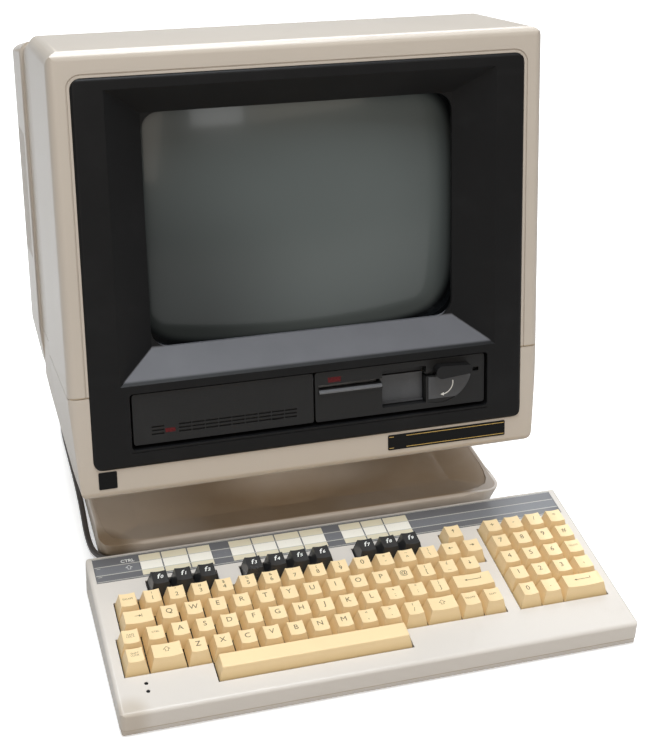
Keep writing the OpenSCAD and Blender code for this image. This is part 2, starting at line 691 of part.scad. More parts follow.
// The windows of both drives' lights
module drive_lights() color([0.75, 0.10, 0.08]) head() {
    block(groove_x + groove_step, panel_y + 0.2, drive_z + 8, groove_x + groove_step + light_w,
        panel_y + panel_t, drive_z + 11.5);
    block(floppy_light_x, panel_y + 0.2, floppy_light_z, floppy_light_x + floppy_light_w,
        panel_y + panel_t, floppy_light_z + 4.5);
}
module floppy_body() color(steel) head() difference() {
    drive_case(right_x, panel_y + recess_d + 1);
    block(right_x + 3, panel_y, slot_z, right_x + drive_w - 5, drive_depth - 20, slot_z + slot_h);
    pin_y(lever_x, lever_z, panel_y, panel_y + panel_t + 14, lever_shaft + 4);
}
lever_shaft = 6;
lever_y0 = panel_y - 9;
lever_thick = 7;
// Turning lever: a shaft through the panel, a round hub and a tapered handle
module floppy_lever() color(black) head() {
    pin_y(lever_x, lever_z, lever_y0 + 1, panel_y + panel_t + 8, lever_shaft);
    pin_y(lever_x, lever_z, lever_y0, panel_y - 0.3, lever_hub);
    along_y(lever_y0, lever_y0 + lever_thick) polygon(rounded([
        [lever_x, lever_z - lever_hub / 2, 0], [lever_x + lever_length, lever_z - 3.2, 2.6],
        [lever_x + lever_length, lever_z + 4, 2.6], [lever_x, lever_z + lever_hub / 2, 0]], 4));
}

// Two thin blank plates stuck to the case's lower front
plate_t = 0.6;
module label_plates() color(black) head() {
    along_y(-plate_t, 0) polygon(rounded(box_outline(62, -15.5, 166, -2.3, 1), 3));
    along_y(-plate_t, 0) polygon(rounded(box_outline(-176.5, -15.6, -162, -1.4, 1), 3));
}

// ---- Electronics, fan and rear fittings ----

module main_board() color(board_green) head() difference() {
    union() {
        block(board_x, board_y0, board_z0, board_x + 1.6, board_y1, board_z1);
        // Rows of chips and the edge connectors
        for (y = [board_y0 + 16:22:board_y1 - 30], z = [board_z0 + 20:34:board_z1 - 40])
            block(board_x + 1.5, y, z, board_x + 5, y + 8, z + 24);
        block(board_x + 1.5, board_y1 - 14, board_z0 + 4, board_x + 12, board_y1 - 6, board_z0 + 60);
    }
    for (p = board_posts) pin_x(p.x, p.y, board_x - over, board_x + 3, 3);
}
module power_supply() color(steel) head() difference() {
    block(supply_x - supply_w, supply_y0, supply_z0, supply_x, supply_y1, supply_z1);
    for (y = [supply_y0 + 12:8:supply_y1 - 14])
        block(supply_x - supply_w - over, y, supply_z0 + 20, supply_x - supply_w + 1.5, y + 3.5,
            supply_z1 - 20);
}
fan_hole = fan_size / 2 - 4.5;
fan_y1 = case_depth - 6;
fan_y0 = fan_y1 - fan_t;
hub_d = 34;
module fan_frame() color(black) head() {
    difference() {
        along_y(fan_y0, fan_y1) polygon(rounded(box_outline(fan_x - fan_size / 2, fan_z - fan_size / 2,
            fan_x + fan_size / 2, fan_z + fan_size / 2, 4), 4));
        pin_y(fan_x, fan_z, fan_y0 - over, fan_y1 + over, fan_size - 5);
        for (x = [-1, 1], z = [-1, 1])
            pin_y(fan_x + x * fan_hole, fan_z + z * fan_hole, fan_y0 - over, fan_y1 + over, 4.3);
    }
    // Motor seat on three spokes, with the spindle that the rotor runs on
    difference() {
        union() {
            pin_y(fan_x, fan_z, fan_y0, fan_y0 + 3, hub_d - 2);
            for (a = [0, 120, 240]) translate([fan_x, fan_y0, fan_z]) rotate([0, a, 0])
                translate([0, 0, -2.5]) cube([fan_size / 2 - 1.5, 3, 5]);
            pin_y(fan_x, fan_z, fan_y0, fan_y1 - 3, 4);
        }
    }
}
module fan_rotor() color([0.13, 0.13, 0.14]) head() difference() {
    union() {
        pin_y(fan_x, fan_z, fan_y0 + 3.6, fan_y1 - 1.5, hub_d);
        intersection() {
            for (a = [0:360 / fan_blades:359]) translate([fan_x, (fan_y0 + fan_y1) / 2 + 1, fan_z])
                rotate([0, a, 0]) rotate([38, 0, 0]) translate([0, -fan_t, -0.8])
                    cube([fan_size, 2 * fan_t, 1.6]);
            difference() {
                pin_y(fan_x, fan_z, fan_y0 + 4, fan_y1 - 2, fan_size - 8);
                pin_y(fan_x, fan_z, fan_y0, fan_y1, hub_d - 4);
            }
        }
    }
    pin_y(fan_x, fan_z, fan_y0, fan_y1 + over, 4 + 2 * running);
}

// Socket panel: a steel plate with the shells of its connectors standing in it
sock_mid = (sock_z0 + sock_z1) / 2;
module rear_sockets() color(steel) head() difference() {
    union() {
        block(sock_x0 - 5, case_depth - case_wall - 1.5, sock_z0 - 5, sock_x1 + 5,
            case_depth - case_wall, sock_z1 + 5);
        for (x = [-142, -96]) along_y(case_depth - 14, case_depth - 0.5) polygon(rounded([
            [x - 16, sock_mid - 5.5, 1.5], [x + 16, sock_mid - 5.5, 1.5], [x + 18.5, sock_mid + 5.5, 1.5],
            [x - 18.5, sock_mid + 5.5, 1.5]], 3));
        for (x = [-60, -36, -12]) pin_y(x, sock_mid, case_depth - 14, case_depth - 0.5, 17);
    }
    for (x = [-142, -96]) along_y(case_depth - 7, case_depth + over) polygon(rounded([
        [x - 15, sock_mid - 4.5, 1], [x + 15, sock_mid - 4.5, 1], [x + 17.3, sock_mid + 4.5, 1],
        [x - 17.3, sock_mid + 4.5, 1]], 3));
    for (x = [-60, -36, -12]) pin_y(x, sock_mid, case_depth - 9, case_depth + over, plug_d + 0.3);
}
module mains_inlet() color(black) head() {
    difference() {
        union() {
            block(inlet_x - 13.5 + fit, case_depth - 26, inlet_z - 12 + fit, inlet_x + 13.5 - fit,
                case_depth, inlet_z + 12 - fit);
            block(inlet_x - 15.5, case_depth, inlet_z - 14, inlet_x + 15.5, case_depth + 1.8, inlet_z + 14);
        }
        along_y(case_depth - 17, case_depth + 3) polygon([[inlet_x - 11.2, inlet_z - 7.8],
            [inlet_x + 11.2, inlet_z - 7.8], [inlet_x + 11.2, inlet_z + 3], [inlet_x + 6.5, inlet_z + 7.8],
            [inlet_x - 6.5, inlet_z + 7.8], [inlet_x - 11.2, inlet_z + 3]]);
    }
    for (p = [[-7, -2], [0, 2], [7, -2]])
        block(inlet_x + p.x - 1, case_depth - 18, inlet_z + p.y - 2, inlet_x + p.x + 1,
            case_depth - 6, inlet_z + p.y + 2);
    // Switch housing beside it, with the pivot that the rocker turns on
    difference() {
        block(switch_x - 10 + fit, case_depth - 22, inlet_z - 13.5 + fit, switch_x + 10 - fit,
            case_depth + 1.2, inlet_z + 13.5 - fit);
        block(switch_x - 7, case_depth - 14, inlet_z - 10.5, switch_x + 7, case_depth + 3, inlet_z + 10.5);
    }
    // Bridge that joins the two housings, and the pivot of the rocker
    block(inlet_x + 13, case_depth - 21.5, inlet_z - 8, switch_x - 9.5, case_depth - 18, inlet_z + 8);
    pin_x(rocker_y, inlet_z, switch_x - 7.5, switch_x + 7.5, 3);
}
rocker_y = case_depth - 5;
rocker_lean = 8;
rocker_r = 22;
module power_switch() color([0.12, 0.12, 0.13]) head() translate([0, rocker_y, inlet_z])
    rotate([-rocker_lean, 0, 0]) difference() {
        along_x(switch_x - 6.6, switch_x + 6.6) polygon([[-3.5, -3], [-1, -8.6], [6.2, -9.4],
            [3.4, 0], [6.2, 9.4], [-1, 8.6], [-3.5, 3]]);
        pin_x(0, 0, switch_x - 8, switch_x + 8, 3 + 2 * running);
    }
module rear_knob(x) difference() {
    union() {
        pin_y(x, knob_z, case_depth - 12, case_depth + 4, knob_shaft);
        pin_y(x, knob_z, case_depth + 0.6, case_depth + 9, knob_d);
    }
    // Grip flutes and the pointer's slot
    for (a = [0:30:359]) translate([x, case_depth + 9, knob_z]) rotate([0, a, 0])
        translate([knob_d / 2, 0, 0]) rotate([90, 0, 0]) cylinder(h = 6, d = 1.6, $fn = 16);
    block(x - 0.6, case_depth + 8, knob_z, x + 0.6, case_depth + 10, knob_z + knob_d / 2 + 1);
}
module brightness_knob() color(black) head() rear_knob(knob_x[0]);
module contrast_knob() color(black) head() rear_knob(knob_x[1]);

// ---- Stand ----

bracket_t = 4;
bracket_w = 96;
bracket_d = 84;
lug_t = 8;
lug_x = ear_span / 2 - lug_t - 0.4 - lug_t / 2;
lug_r = 12;
bracket_bolts_x = [-34, 34];
bracket_bolts_y = [-30, 30];
// A frame on the case's sloping underside, above the tilt pin: Z is away from the floor, inwards
module on_floor(x, y) translate([x, pin_back, floor_z(pin_back)]) rotate([tilt_rest, 0, 0])
    translate([0, y, 0]) children();
module bracket_bolt(x, y, d, h) on_floor(x, y) translate([0, 0, -bracket_t - 1]) cylinder(h = h, d = d);
// Channel bolted under the case; its two lugs turn on the pin
module tilt_bracket() color(steel) head() difference() {
    on_floor(0, 0) union() {
        block(-lug_x - lug_t / 2, -bracket_d / 2, -bracket_t, lug_x + lug_t / 2, bracket_d / 2, 0);
        for (s = [-1, 1]) along_x(s * lug_x - lug_t / 2, s * lug_x + lug_t / 2)
            polygon([[pin_shift - 24, 0], [pin_shift - lug_r, -pin_drop], [pin_shift + lug_r, -pin_drop],
                [pin_shift + 24, 0]]);
        for (s = [-1, 1])
            pin_x(pin_shift, -pin_drop, s * lug_x - lug_t / 2, s * lug_x + lug_t / 2, 2 * lug_r);
    }
    translate([0, pin_back, pin_z]) pin_x(0, 0, -ear_span, ear_span, pin_d + 2 * running);
    for (x = bracket_bolts_x, y = bracket_bolts_y) bracket_bolt(x, y, 4.5, 12);
}
pin_shift = -pin_drop * tan(tilt_rest);

bolt_head = 5;
disc_gap = 0.2;
disc_t = 6;
// Turntable on the dome, with two ears that hold the tilt pin
module cradle() color([0.62, 0.60, 0.56]) stand() difference() {
    union() {
        translate([0, 0, dome_top + disc_gap]) cylinder(h = disc_t, r = turntable_r);
        translate([0, 0, dome_top + disc_gap]) cylinder(h = disc_t + 3, r = bolt_d / 2 + 8);
        for (s = [-1, 1]) along_x(s * (ear_span / 2 - lug_t / 2) - lug_t / 2,
            s * (ear_span / 2 - lug_t / 2) + lug_t / 2)
            polygon([[-28, dome_top + disc_gap], [28, dome_top + disc_gap], [lug_r, pin_h], [-lug_r, pin_h]]);
        for (s = [-1, 1]) pin_x(0, pin_h, s * (ear_span / 2 - lug_t / 2) - lug_t / 2,
            s * (ear_span / 2 - lug_t / 2) + lug_t / 2, 2 * lug_r);
        // Arms from the disc to the ears
        for (s = [-1, 1]) block(s > 0 ? 0 : -ear_span / 2, -28, dome_top + disc_gap,
            s > 0 ? ear_span / 2 : 0, 28, dome_top + disc_gap + disc_t);
    }
    pin_x(0, pin_h, -ear_span, ear_span, pin_d);
    translate([0, 0, dome_top - over]) cylinder(h = 30, d = bolt_d + 2 * running);
}
module tilt_pin() color(steel) stand() {
    pin_x(0, pin_h, -ear_span / 2 - 2, ear_span / 2 + 4, pin_d);
    pin_x(0, pin_h, -ear_span / 2 - 5, -ear_span / 2, pin_d + 6);
}
// Bolt up through the dome; a flanged nut keeps the turntable down
module swivel_bolt() color(steel) stand() {
    top = dome_top + disc_gap + disc_t + 3;
    translate([0, 0, dome_top - base_wall - bolt_head]) cylinder(h = bolt_head, d = bolt_d + 8, $fn = 6);
    translate([0, 0, dome_top - base_wall]) cylinder(h = top - dome_top + base_wall + 8, d = bolt_d);
    translate([0, 0, top + 0.1]) cylinder(h = 1.6, d = bolt_d + 12);
    translate([0, 0, top + 1.7]) cylinder(h = 5, d = bolt_d + 7, $fn = 6);
}

base_corner = 38;
base_shift = 5;                             // the plate's middle lies this far to the right of its dome's
foot_h = 2;
base_draft = 2;
rim_w = 5;
dish_floor = base_h - dish_depth;
dome_flat = turntable_r + 4;
module base_outline(inset) translate([base_shift, 0]) polygon(rounded(box_outline(-base_w / 2 + inset,
    -base_d / 2 + inset, base_w / 2 - inset, base_d / 2 - inset, base_corner - inset * 0.6)));
// Profile of the dome: a flat top, a long concave flank and a foot that runs into the dish
function dome_profile(wall) = concat([[0, foot_h - wall], [dome_r - wall, foot_h - wall]],
    [for (k = [0:8]) let (a = 88 * k / 8) [dome_r - wall - (dome_r - dome_flat) * sin(a),
        dish_floor - wall + (dome_top - dish_floor) * (1 - cos(a))]],
    [[dome_flat - wall - 1.5, dome_top - wall], [0, dome_top - wall]]);
module dome(wall) rotate_extrude($fn = 72) polygon(dome_profile(wall));
module base_shape() intersection() {
    translate([0, 0, foot_h]) linear_extrude(dome_top) base_outline(0);
    union() {
        // Rim with sides that lean in a little and a rounded upper edge
        along_x(-base_w, base_w) polygon(rounded([[-base_d / 2 + base_draft, foot_h, 0],
            [base_d / 2 - base_draft, foot_h, 0], [base_d / 2, base_h, 3], [-base_d / 2, base_h, 3]], 4));
        dome(0);
    }
    union() {
        translate([base_shift, 0, 0]) rotate([0, 0, 90]) along_x(-base_d, base_d)
            polygon(rounded([[-base_w / 2 + base_draft, foot_h, 0], [base_w / 2 - base_draft, foot_h, 0],
                [base_w / 2, base_h, 3], [-base_w / 2, base_h, 3]], 4));
        dome(0);
    }
}
module base_plate() color(silver) stand() difference() {
    base_shape();
    // Dished top inside the rim
    difference() {
        intersection() {
            translate([0, 0, dish_floor]) linear_extrude(dome_top) base_outline(rim_w);
            along_x(-base_w, base_w) polygon([[-base_d / 2 + rim_w, base_h + over], [-base_d / 2 + rim_w,
                base_h - 0.5], [-base_d / 2 + rim_w + 26, dish_floor], [base_d / 2 - rim_w - 26, dish_floor],
                [base_d / 2 - rim_w, base_h - 0.5], [base_d / 2 - rim_w, base_h + over]]);
            translate([base_shift, 0, 0]) rotate([0, 0, 90]) along_x(-base_d, base_d)
                polygon([[-base_w / 2 + rim_w, base_h + over], [-base_w / 2 + rim_w, base_h - 0.5],
                    [-base_w / 2 + rim_w + 30, dish_floor], [base_w / 2 - rim_w - 30, dish_floor],
                    [base_w / 2 - rim_w, base_h - 0.5], [base_w / 2 - rim_w, base_h + over]]);
        }
        dome(0);
    }
    // Hollow underneath, with the dome's inside
    difference() {
        translate([0, 0, foot_h - over]) linear_extrude(dish_floor - base_wall - foot_h + over)
            base_outline(base_wall + base_draft);
        for (a = [0:90:359]) rotate([0, 0, a]) translate([dome_r + 8, -1.5, 0])
            cube([base_w, 3, base_h]);
        for (p = base_feet) translate([p.x, p.y, 0]) cylinder(h = base_h, d = foot_d + 6);
    }
    dome(base_wall);
    cylinder(h = dome_top + over, d = bolt_d + 0.1);
    for (p = base_feet) translate([p.x, p.y, -over]) cylinder(h = foot_h + foot_seat + over, d = foot_d);
}
foot_d = 18;
foot_seat = 1.2;
base_feet = [for (x = [-1, 1], y = [-1, 1]) [x * (base_w / 2 - 24), y * (base_d / 2 - 24)]];
keyboard_foot_d = 10;
keyboard_foot_h = 1.2;
keyboard_feet = [for (x = [20, keyboard_w - 20], y = [16, keyboard_depth - 16]) [x, y]];
module rubber_feet() color([0.10, 0.10, 0.10]) {
    stand() for (p = base_feet) translate([p.x, p.y, 0]) cylinder(h = foot_h + foot_seat, d = foot_d);
    keyboard_corner() for (p = keyboard_feet) translate([p.x, p.y, 0])
        cylinder(h = keyboard_foot_h + foot_seat, d = keyboard_foot_d);
}

// ---- Keyboard case ----

module keyboard_corner() translate([key_x - left_margin, keyboard_front, 0]) children();
keyboard_rear_h = keyboard_h + keyboard_d * sin(keyboard_slope);
keyboard_inset = 1.2;
deck_y0 = -front_margin;                    // the top's front edge in the keys' frame
deck_z = -cap_rise;
key_clear = 0.9;                            // gap between the outer keycaps and the case
strip_rear = 3.5;
strip_x0 = 5;
strip_x1 = 6.5;
// The keyboard from the side, in the table's frame, from its lower front corner
module keyboard_side(inset) polygon(rounded([[inset, 0, 0], [inset, keyboard_h - inset, 3.2],
    [keyboard_depth - inset, keyboard_rear_h - inset, 2.6], [keyboard_depth - inset, 0, 0]], 5));
module keyboard_plan(inset) polygon(rounded(box_outline(inset, inset, keyboard_w - inset,
    keyboard_depth - inset, 5 - inset)));
// The deck's section across, laid along the slope, with rounded shoulders
module keyboard_across(inset) translate([-left_margin, 0, 0]) along_y(-keyboard_d, 2 * keyboard_d)
    polygon(rounded([[inset, deck_z - 80, 0], [keyboard_w - inset, deck_z - 80, 0],
        [keyboard_w - inset, deck_z - inset, 3.4], [inset, deck_z - inset, 3.4]], 5));
module keyboard_form(inset) intersection() {
    keyboard_corner() along_x(0, keyboard_w) keyboard_side(inset);
    keyboard_corner() linear_extrude(100) keyboard_plan(inset);
    keys_frame() keyboard_across(inset);
}
// Rows of keys as [first, end, row, width of one key] in key units from the first key's left edge
pad = 16.35;
bank_areas = [[1.5, 4.5, 4], [5.5, 9.5, 4], [10.5, 13.5, 4], [14.5, 15.5, 4], [0, 16, 3], [0, 15.5, 2],
    [-0.25, 15.75, 1], [-0.25, 15.75, 0], [3.25, 11.25, -1], [pad, pad + 4, 4], [pad, pad + 4, 3],
    [pad, pad + 4, 2], [pad, pad + 4, 1], [pad, pad + 4, 0]];
module bank_openings(grow) for (a = bank_areas)
    translate([a[0] * pitch - grow, (a[2] - 0.5) * pitch - grow])
        square([(a[1] - a[0]) * pitch + 2 * grow, pitch + 2 * grow]);
strip_y1 = keyboard_d - front_margin - strip_rear;
lights = [[9.5, -18.4], [9.5, -26]];
module keyboard_top() color(silver) difference() {
    intersection() {
        difference() {
            keyboard_form(0);
            keyboard_form(keyboard_wall);
        }
        translate([-500, -500, keyboard_seam]) cube([1000, 1000, 100]);
    }
    keys_frame() {
        translate([0, 0, deck_z - 8]) linear_extrude(12) bank_openings(key_clear - cap_gap / 2);
        // Shallow seat for the label strip, two holes for the lights, and a ledge line
        block(strip_x0 - left_margin, strip_y1 - strip_d, deck_z - strip_t,
            keyboard_w - left_margin - strip_x1, strip_y1, deck_z + over);
        for (p = lights) translate([p.x, p.y, deck_z - 6]) cylinder(h = 8, d = 3.1);
    }
    lead_hole();
}
module lead_hole() translate([lead_x, keyboard_front + keyboard_depth - 12, lead_z]) rotate([-90, 0, 0])
    cylinder(h = 20, d = relief_d);
module keyboard_base() color(silver) {
    difference() {
        intersection() {
            keyboard_corner() translate([0, 0, keyboard_foot_h])
                linear_extrude(keyboard_seam - keyboard_foot_h) keyboard_plan(0.4);
            keyboard_corner() along_x(0, keyboard_w) tray_section(keyboard_depth);
            keyboard_corner() along_y(0, keyboard_depth) tray_section(keyboard_w);
        }
        keyboard_corner() translate([0, 0, keyboard_foot_h + 2]) linear_extrude(keyboard_seam)
            keyboard_plan(keyboard_inset + 1.5);
        keyboard_corner() for (p = keyboard_feet) translate([p.x, p.y, 0])
            cylinder(h = keyboard_foot_h + foot_seat, d = keyboard_foot_d);
    }
    // Posts under the key plate
    intersection() {
        keys_frame() for (p = plate_posts) translate([p.x, p.y, plate_z - plate_thick - 60])
            cylinder(h = 60, d = post_d);
        translate([-500, -500, keyboard_foot_h + 1]) cube([1000, 1000, 100]);
    }
}
// The tray's section: its sides lean in towards the bottom
module tray_section(w) polygon([[keyboard_inset, keyboard_foot_h], [w - keyboard_inset, keyboard_foot_h],
    [w - 0.4, keyboard_seam], [0.4, keyboard_seam]]);
module label_strip() color([0.20, 0.22, 0.26]) keys_frame()
    block(strip_x0 - left_margin + 0.2, strip_y1 - strip_d + 0.2, deck_z - strip_t,
        keyboard_w - left_margin - strip_x1 - 0.2, strip_y1 - 0.2, deck_z + 0.15);

// ---- Key plate, switches and board ----

plate_gap = 0.7;                                    // a pressed keycap stays clear of the plate by this
plate_thick = 1.5;
plate_z = -cap_rise - cap_skirt - travel - plate_gap;
board_t = 1.6;
board_z = plate_z - plate_thick - 3.2;
housing_w = 8.4;
housing_top = -travel - cap_wall - cap_crown - 1.2;
plate_x0 = -0.25 * pitch - 3;
plate_x1 = (pad + 4) * pitch + 1;
plate_y0 = -1.5 * pitch - 2;
plate_y1 = 4.5 * pitch + 2;
post_d = 6;
plate_posts = [for (x = [0.3, 8, 16.1, 20.1], y = [0.5, 3.5]) [x * pitch, y * pitch]];

// Every key as [left edge, width, row]
function_row = [for (x = [1.5, 2.5, 3.5, 5.5, 6.5, 7.5, 8.5, 10.5, 11.5, 12.5]) [x, 1, 4]];
number_row = [for (x = [1:13]) [x, 1, 3]];
top_row = [for (k = [0:12]) [1.5 + k, 1, 2]];
home_row = [for (k = [0:11]) [1.75 + k, 1, 1]];
bottom_row = [for (k = [0:9]) [2.25 + k, 1, 0]];
escape = [[0, 1, 3]];
tab = [[0, 1.5, 2]];
caps_lock = [[-0.25, 1, 1]];
control = [[0.75, 1, 1]];
shift_lock = [[-0.25, 1, 0]];
left_shift = [[0.75, 1.5, 0]];
right_shift = [[12.25, 1.5, 0]];
return_bar = [[13.75, 2, 1]];
delete = [[13.75, 1, 0]];
copy = [[14.75, 1, 0]];
space = [[3.25, 8, -1]];
cursor = [[14.5, 1, 4], [14, 1, 3], [15, 1, 3], [14.5, 1, 2]];
pad_keys = concat([for (r = [1:4], c = [0:3]) [pad + c, 1, r]], [[pad, 1, 0], [pad + 1, 1, 0]]);
pad_return = [[pad + 2, 2, 0]];
all_keys = concat(function_row, number_row, top_row, home_row, bottom_row, escape, tab, caps_lock,
    control, shift_lock, left_shift, right_shift, return_bar, delete, copy, space, cursor, pad_keys,
    pad_return);
// Stems of a key: wide bars have a guide near each end as well
function stems(k) = let (m = (k[0] + k[1] / 2) * pitch)
    k[1] < 4 ? [m] : [m - (k[1] / 2 - 1) * pitch, m, m + (k[1] / 2 - 1) * pitch];

module key_plate() color(steel) keys_frame() translate([0, 0, plate_z - plate_thick])
    linear_extrude(plate_thick) difference() {
        translate([plate_x0, plate_y0]) square([plate_x1 - plate_x0, plate_y1 - plate_y0]);
        for (k = all_keys, x = stems(k)) translate([x, k[2] * pitch])
            square(housing_w + 0.2, center = true);
    }
module key_switches() color(black) keys_frame() for (k = all_keys, x = stems(k)) difference() {
    translate([x - housing_w / 2, k[2] * pitch - housing_w / 2, board_z + board_t])
        cube([housing_w, housing_w, housing_top - board_z - board_t]);
    stem(x, k[2] * pitch, board_z + board_t + 0.6, 0, 0.1);
}
module keyboard_board() color(board_green) keys_frame() difference() {
    block(plate_x0 + 6, plate_y0 + 2, board_z, plate_x1 - 2, plate_y1 - 3, board_z + board_t);
    for (p = plate_posts) translate([p.x, p.y, board_z - over])
        cylinder(h = 2 * over + board_t, d = post_d + 1);
}
module keyboard_lights() color([0.55, 0.12, 0.08]) keys_frame() for (p = lights)
    translate([p.x, p.y, deck_z - 5]) {
        cylinder(h = 4.6, d = 3);
        cylinder(h = 1.5, d = 4);
    }

// ---- Keycaps ----

cap_top_w = 6;      // how much narrower the top is than the skirt
cap_front = 3.6;    // slope of the front face
cap_back = 1.5;     // slope of the back face
cap_bottom = -cap_rise - cap_skirt;
module cap_form(w, inset, top) {
    half = (w * pitch - cap_gap) / 2 - inset;
    deep = (pitch - cap_gap) / 2 - inset;
    intersection() {
        along_y(-pitch, pitch) polygon([[-half, cap_bottom - inset], [half, cap_bottom - inset],
            [half - cap_top_w / 2, top], [-half + cap_top_w / 2, top]]);
        along_x(-w * pitch, w * pitch) polygon([[-deep, cap_bottom - inset], [deep, cap_bottom - inset],
            [deep - cap_back, top], [-deep + cap_front, top]]);
    }
}
module cap(w) difference() {
    cap_form(w, 0, cap_crown);
    // Finger dish across the key, flat on the longest bar, then the hollow inside
    half = (w * pitch - cap_gap - cap_top_w) / 2;
    r = half * half / 2 / cap_crown;
    if (w > 3) block(-w * pitch, -pitch, 0, w * pitch, pitch, 2);
    else translate([0, pitch, r]) rotate([90, 0, 0]) cylinder(h = 2 * pitch, r = r, $fn = 96);
    intersection() {
        cap_form(w, cap_wall, -cap_wall);
        block(-w * pitch, -pitch, cap_bottom - 2, w * pitch, pitch, -cap_wall - cap_crown);
    }
}
// A square stem or its socket, larger all round by grow
module stem(x, y, z0, z1, grow) translate([x - stem_w / 2 - grow, y - stem_w / 2 - grow, z0])
    cube([stem_w + 2 * grow, stem_w + 2 * grow, z1 - z0]);
stem_bottom = board_z + board_t + 0.8 + travel;
module keycaps(list, tone) color(tone) keys_frame() for (k = list) {
    translate([(k[0] + k[1] / 2) * pitch, k[2] * pitch, 0]) cap(k[1]);
    for (x = stems(k)) stem(x, k[2] * pitch, stem_bottom, -cap_wall - cap_crown / 2, 0);
}
module function_keys() keycaps(function_row, black);
module number_keys() keycaps(number_row, cream);
module top_letter_keys() keycaps(top_row, cream);
module home_letter_keys() keycaps(home_row, cream);
module bottom_letter_keys() keycaps(bottom_row, cream);
module escape_key() keycaps(escape, cream);
module tab_key() keycaps(tab, cream);
module caps_lock_key() keycaps(caps_lock, cream);
module control_key() keycaps(control, cream);
module shift_lock_key() keycaps(shift_lock, cream);
module left_shift_key() keycaps(left_shift, cream);
module right_shift_key() keycaps(right_shift, cream);
module return_key() keycaps(return_bar, cream);
module delete_key() keycaps(delete, cream);
module copy_key() keycaps(copy, cream);
module space_bar() keycaps(space, cream);
module cursor_keys() keycaps(cursor, cream);
module keypad_keys() keycaps(pad_keys, cream);
module keypad_return_key() keycaps(pad_return, cream);

// ---- Keyboard lead ----

relief_d = 9;
lead_x = -177;
lead_z = 20;
relief_out = 9;
module strain_relief() color([0.12, 0.12, 0.13]) translate([lead_x, keyboard_front + keyboard_depth, lead_z])
    rotate([-90, 0, 0]) difference() {
        union() {
            translate([0, 0, -keyboard_wall - 2]) cylinder(h = keyboard_wall + 2, d = relief_d);
            cylinder(h = relief_out, d1 = relief_d, d2 = lead_d + 1.4);
            cylinder(h = 1.2, d = relief_d + 3);
        }
        translate([0, 0, -20]) cylinder(h = 40, d = lead_d);
    }
// Points of the lead's centre line, chosen by hand: out of the keyboard, down onto the table,
// round the base's front corner and back along its side to the coil
route = [[-177, -90, 20], [-177, -80.5, 20], [-177.4, -74, 19.2], [-179, -67, 16.8], [-181.8, -59.5, 13],
    [-185, -51.5, 9.4], [-188, -42.5, 6.4], [-189.9, -32, 4.3], [-190.6, -20, 3], [-190.6, -6, 2.5],
    [-190, 10, 2.5], [-189.2, 30, 2.5], [-188.6, 55, 2.5], [-188.3, 80, 2.5], [-188.3, 105, 2.5],
    [-188.3, 130, 2.5], [-188.2, 148, 2.5], [-187.4, 162, 2.5], [-185.6, 176, 2.5], [-182.6, 190, 2.5],
    [-179.6, 203, 2.5], [-178, 215, 2.5]];
coil_at = [-145.5, 216];
function spline(p, i, t) = let (a = p[max(i - 1, 0)], b = p[i], c = p[i + 1], d = p[min(i + 2, len(p) - 1)])
    0.5 * (2 * b + (c - a) * t + (2 * a - 5 * b + 4 * c - d) * t * t + (3 * b - a - 3 * c + d) * t * t * t);
lead_path = concat([for (i = [0:len(route) - 2], t = [0, 0.5]) spline(route, i, t)], [route[len(route) - 1]]);
function direction(p, i) = unit(p[min(i + 1, len(p) - 1)] - p[max(i - 1, 0)]);
// One closed tube swept along a path that never runs straight up
module tube(path, d, sides = 10) {
    n = len(path);
    rings = [for (i = [0:n - 1]) let (f = direction(path, i), s = unit(cross(f, [0, 0, 1])), u = cross(s, f))
        for (k = [0:sides - 1]) path[i] + d / 2 * (cos(360 * k / sides) * s + sin(360 * k / sides) * u)];
    walls = [for (i = [0:n - 2], k = [0:sides - 1])
        [i * sides + k, i * sides + (k + 1) % sides, (i + 1) * sides + (k + 1) % sides, (i + 1) * sides + k]];
    polyhedron(rings, concat(walls, [[for (k = [sides - 1:-1:0]) k]],
        [[for (k = [0:sides - 1]) (n - 1) * sides + k]]));
}
module keyboard_lead() color([0.16, 0.16, 0.17]) tube(lead_path, lead_d);
// The coil as one ring of the turns' outer shape
module lead_coil() color([0.16, 0.16, 0.17]) translate([coil_at.x, coil_at.y, 0]) rotate_extrude($fn = 64)
    polygon(rounded([[coil_d / 2 - coil_across * lead_d / 2, 0, 1.5],
        [coil_d / 2 + coil_across * lead_d / 2, 0, 1.5],
        [coil_d / 2 + coil_across * lead_d / 2, 1.9 * lead_d, 2],
        [coil_d / 2 - coil_across * lead_d / 2, 1.9 * lead_d, 2]], 3));
plug_at = [-119.2, 242.9];
plug_turn = -14;
module lead_plug() color([0.13, 0.13, 0.14]) translate([plug_at.x, plug_at.y, plug_d / 2 + 0.5])
    rotate([0, 0, plug_turn]) rotate([0, 90, 0]) {
        translate([0, 0, -14]) cylinder(h = 9, d = lead_d);
        rotate_extrude() polygon([[0, -6], [lead_d / 2 + 1, -6], [lead_d / 2 + 2.5, 6], [plug_d / 2 + 0.5, 9],
            [plug_d / 2 + 0.5, 31], [plug_d / 2, 32], [plug_d / 2 - 0.6, 32], [plug_d / 2 - 0.6, 40],
            [plug_d / 2 - 1.5, 40], [plug_d / 2 - 1.5, 33], [0, 33]]);
        for (a = [0:45:180]) rotate([0, 0, a]) translate([4, 0, 32]) cylinder(h = 6, d = 1.2);
    }

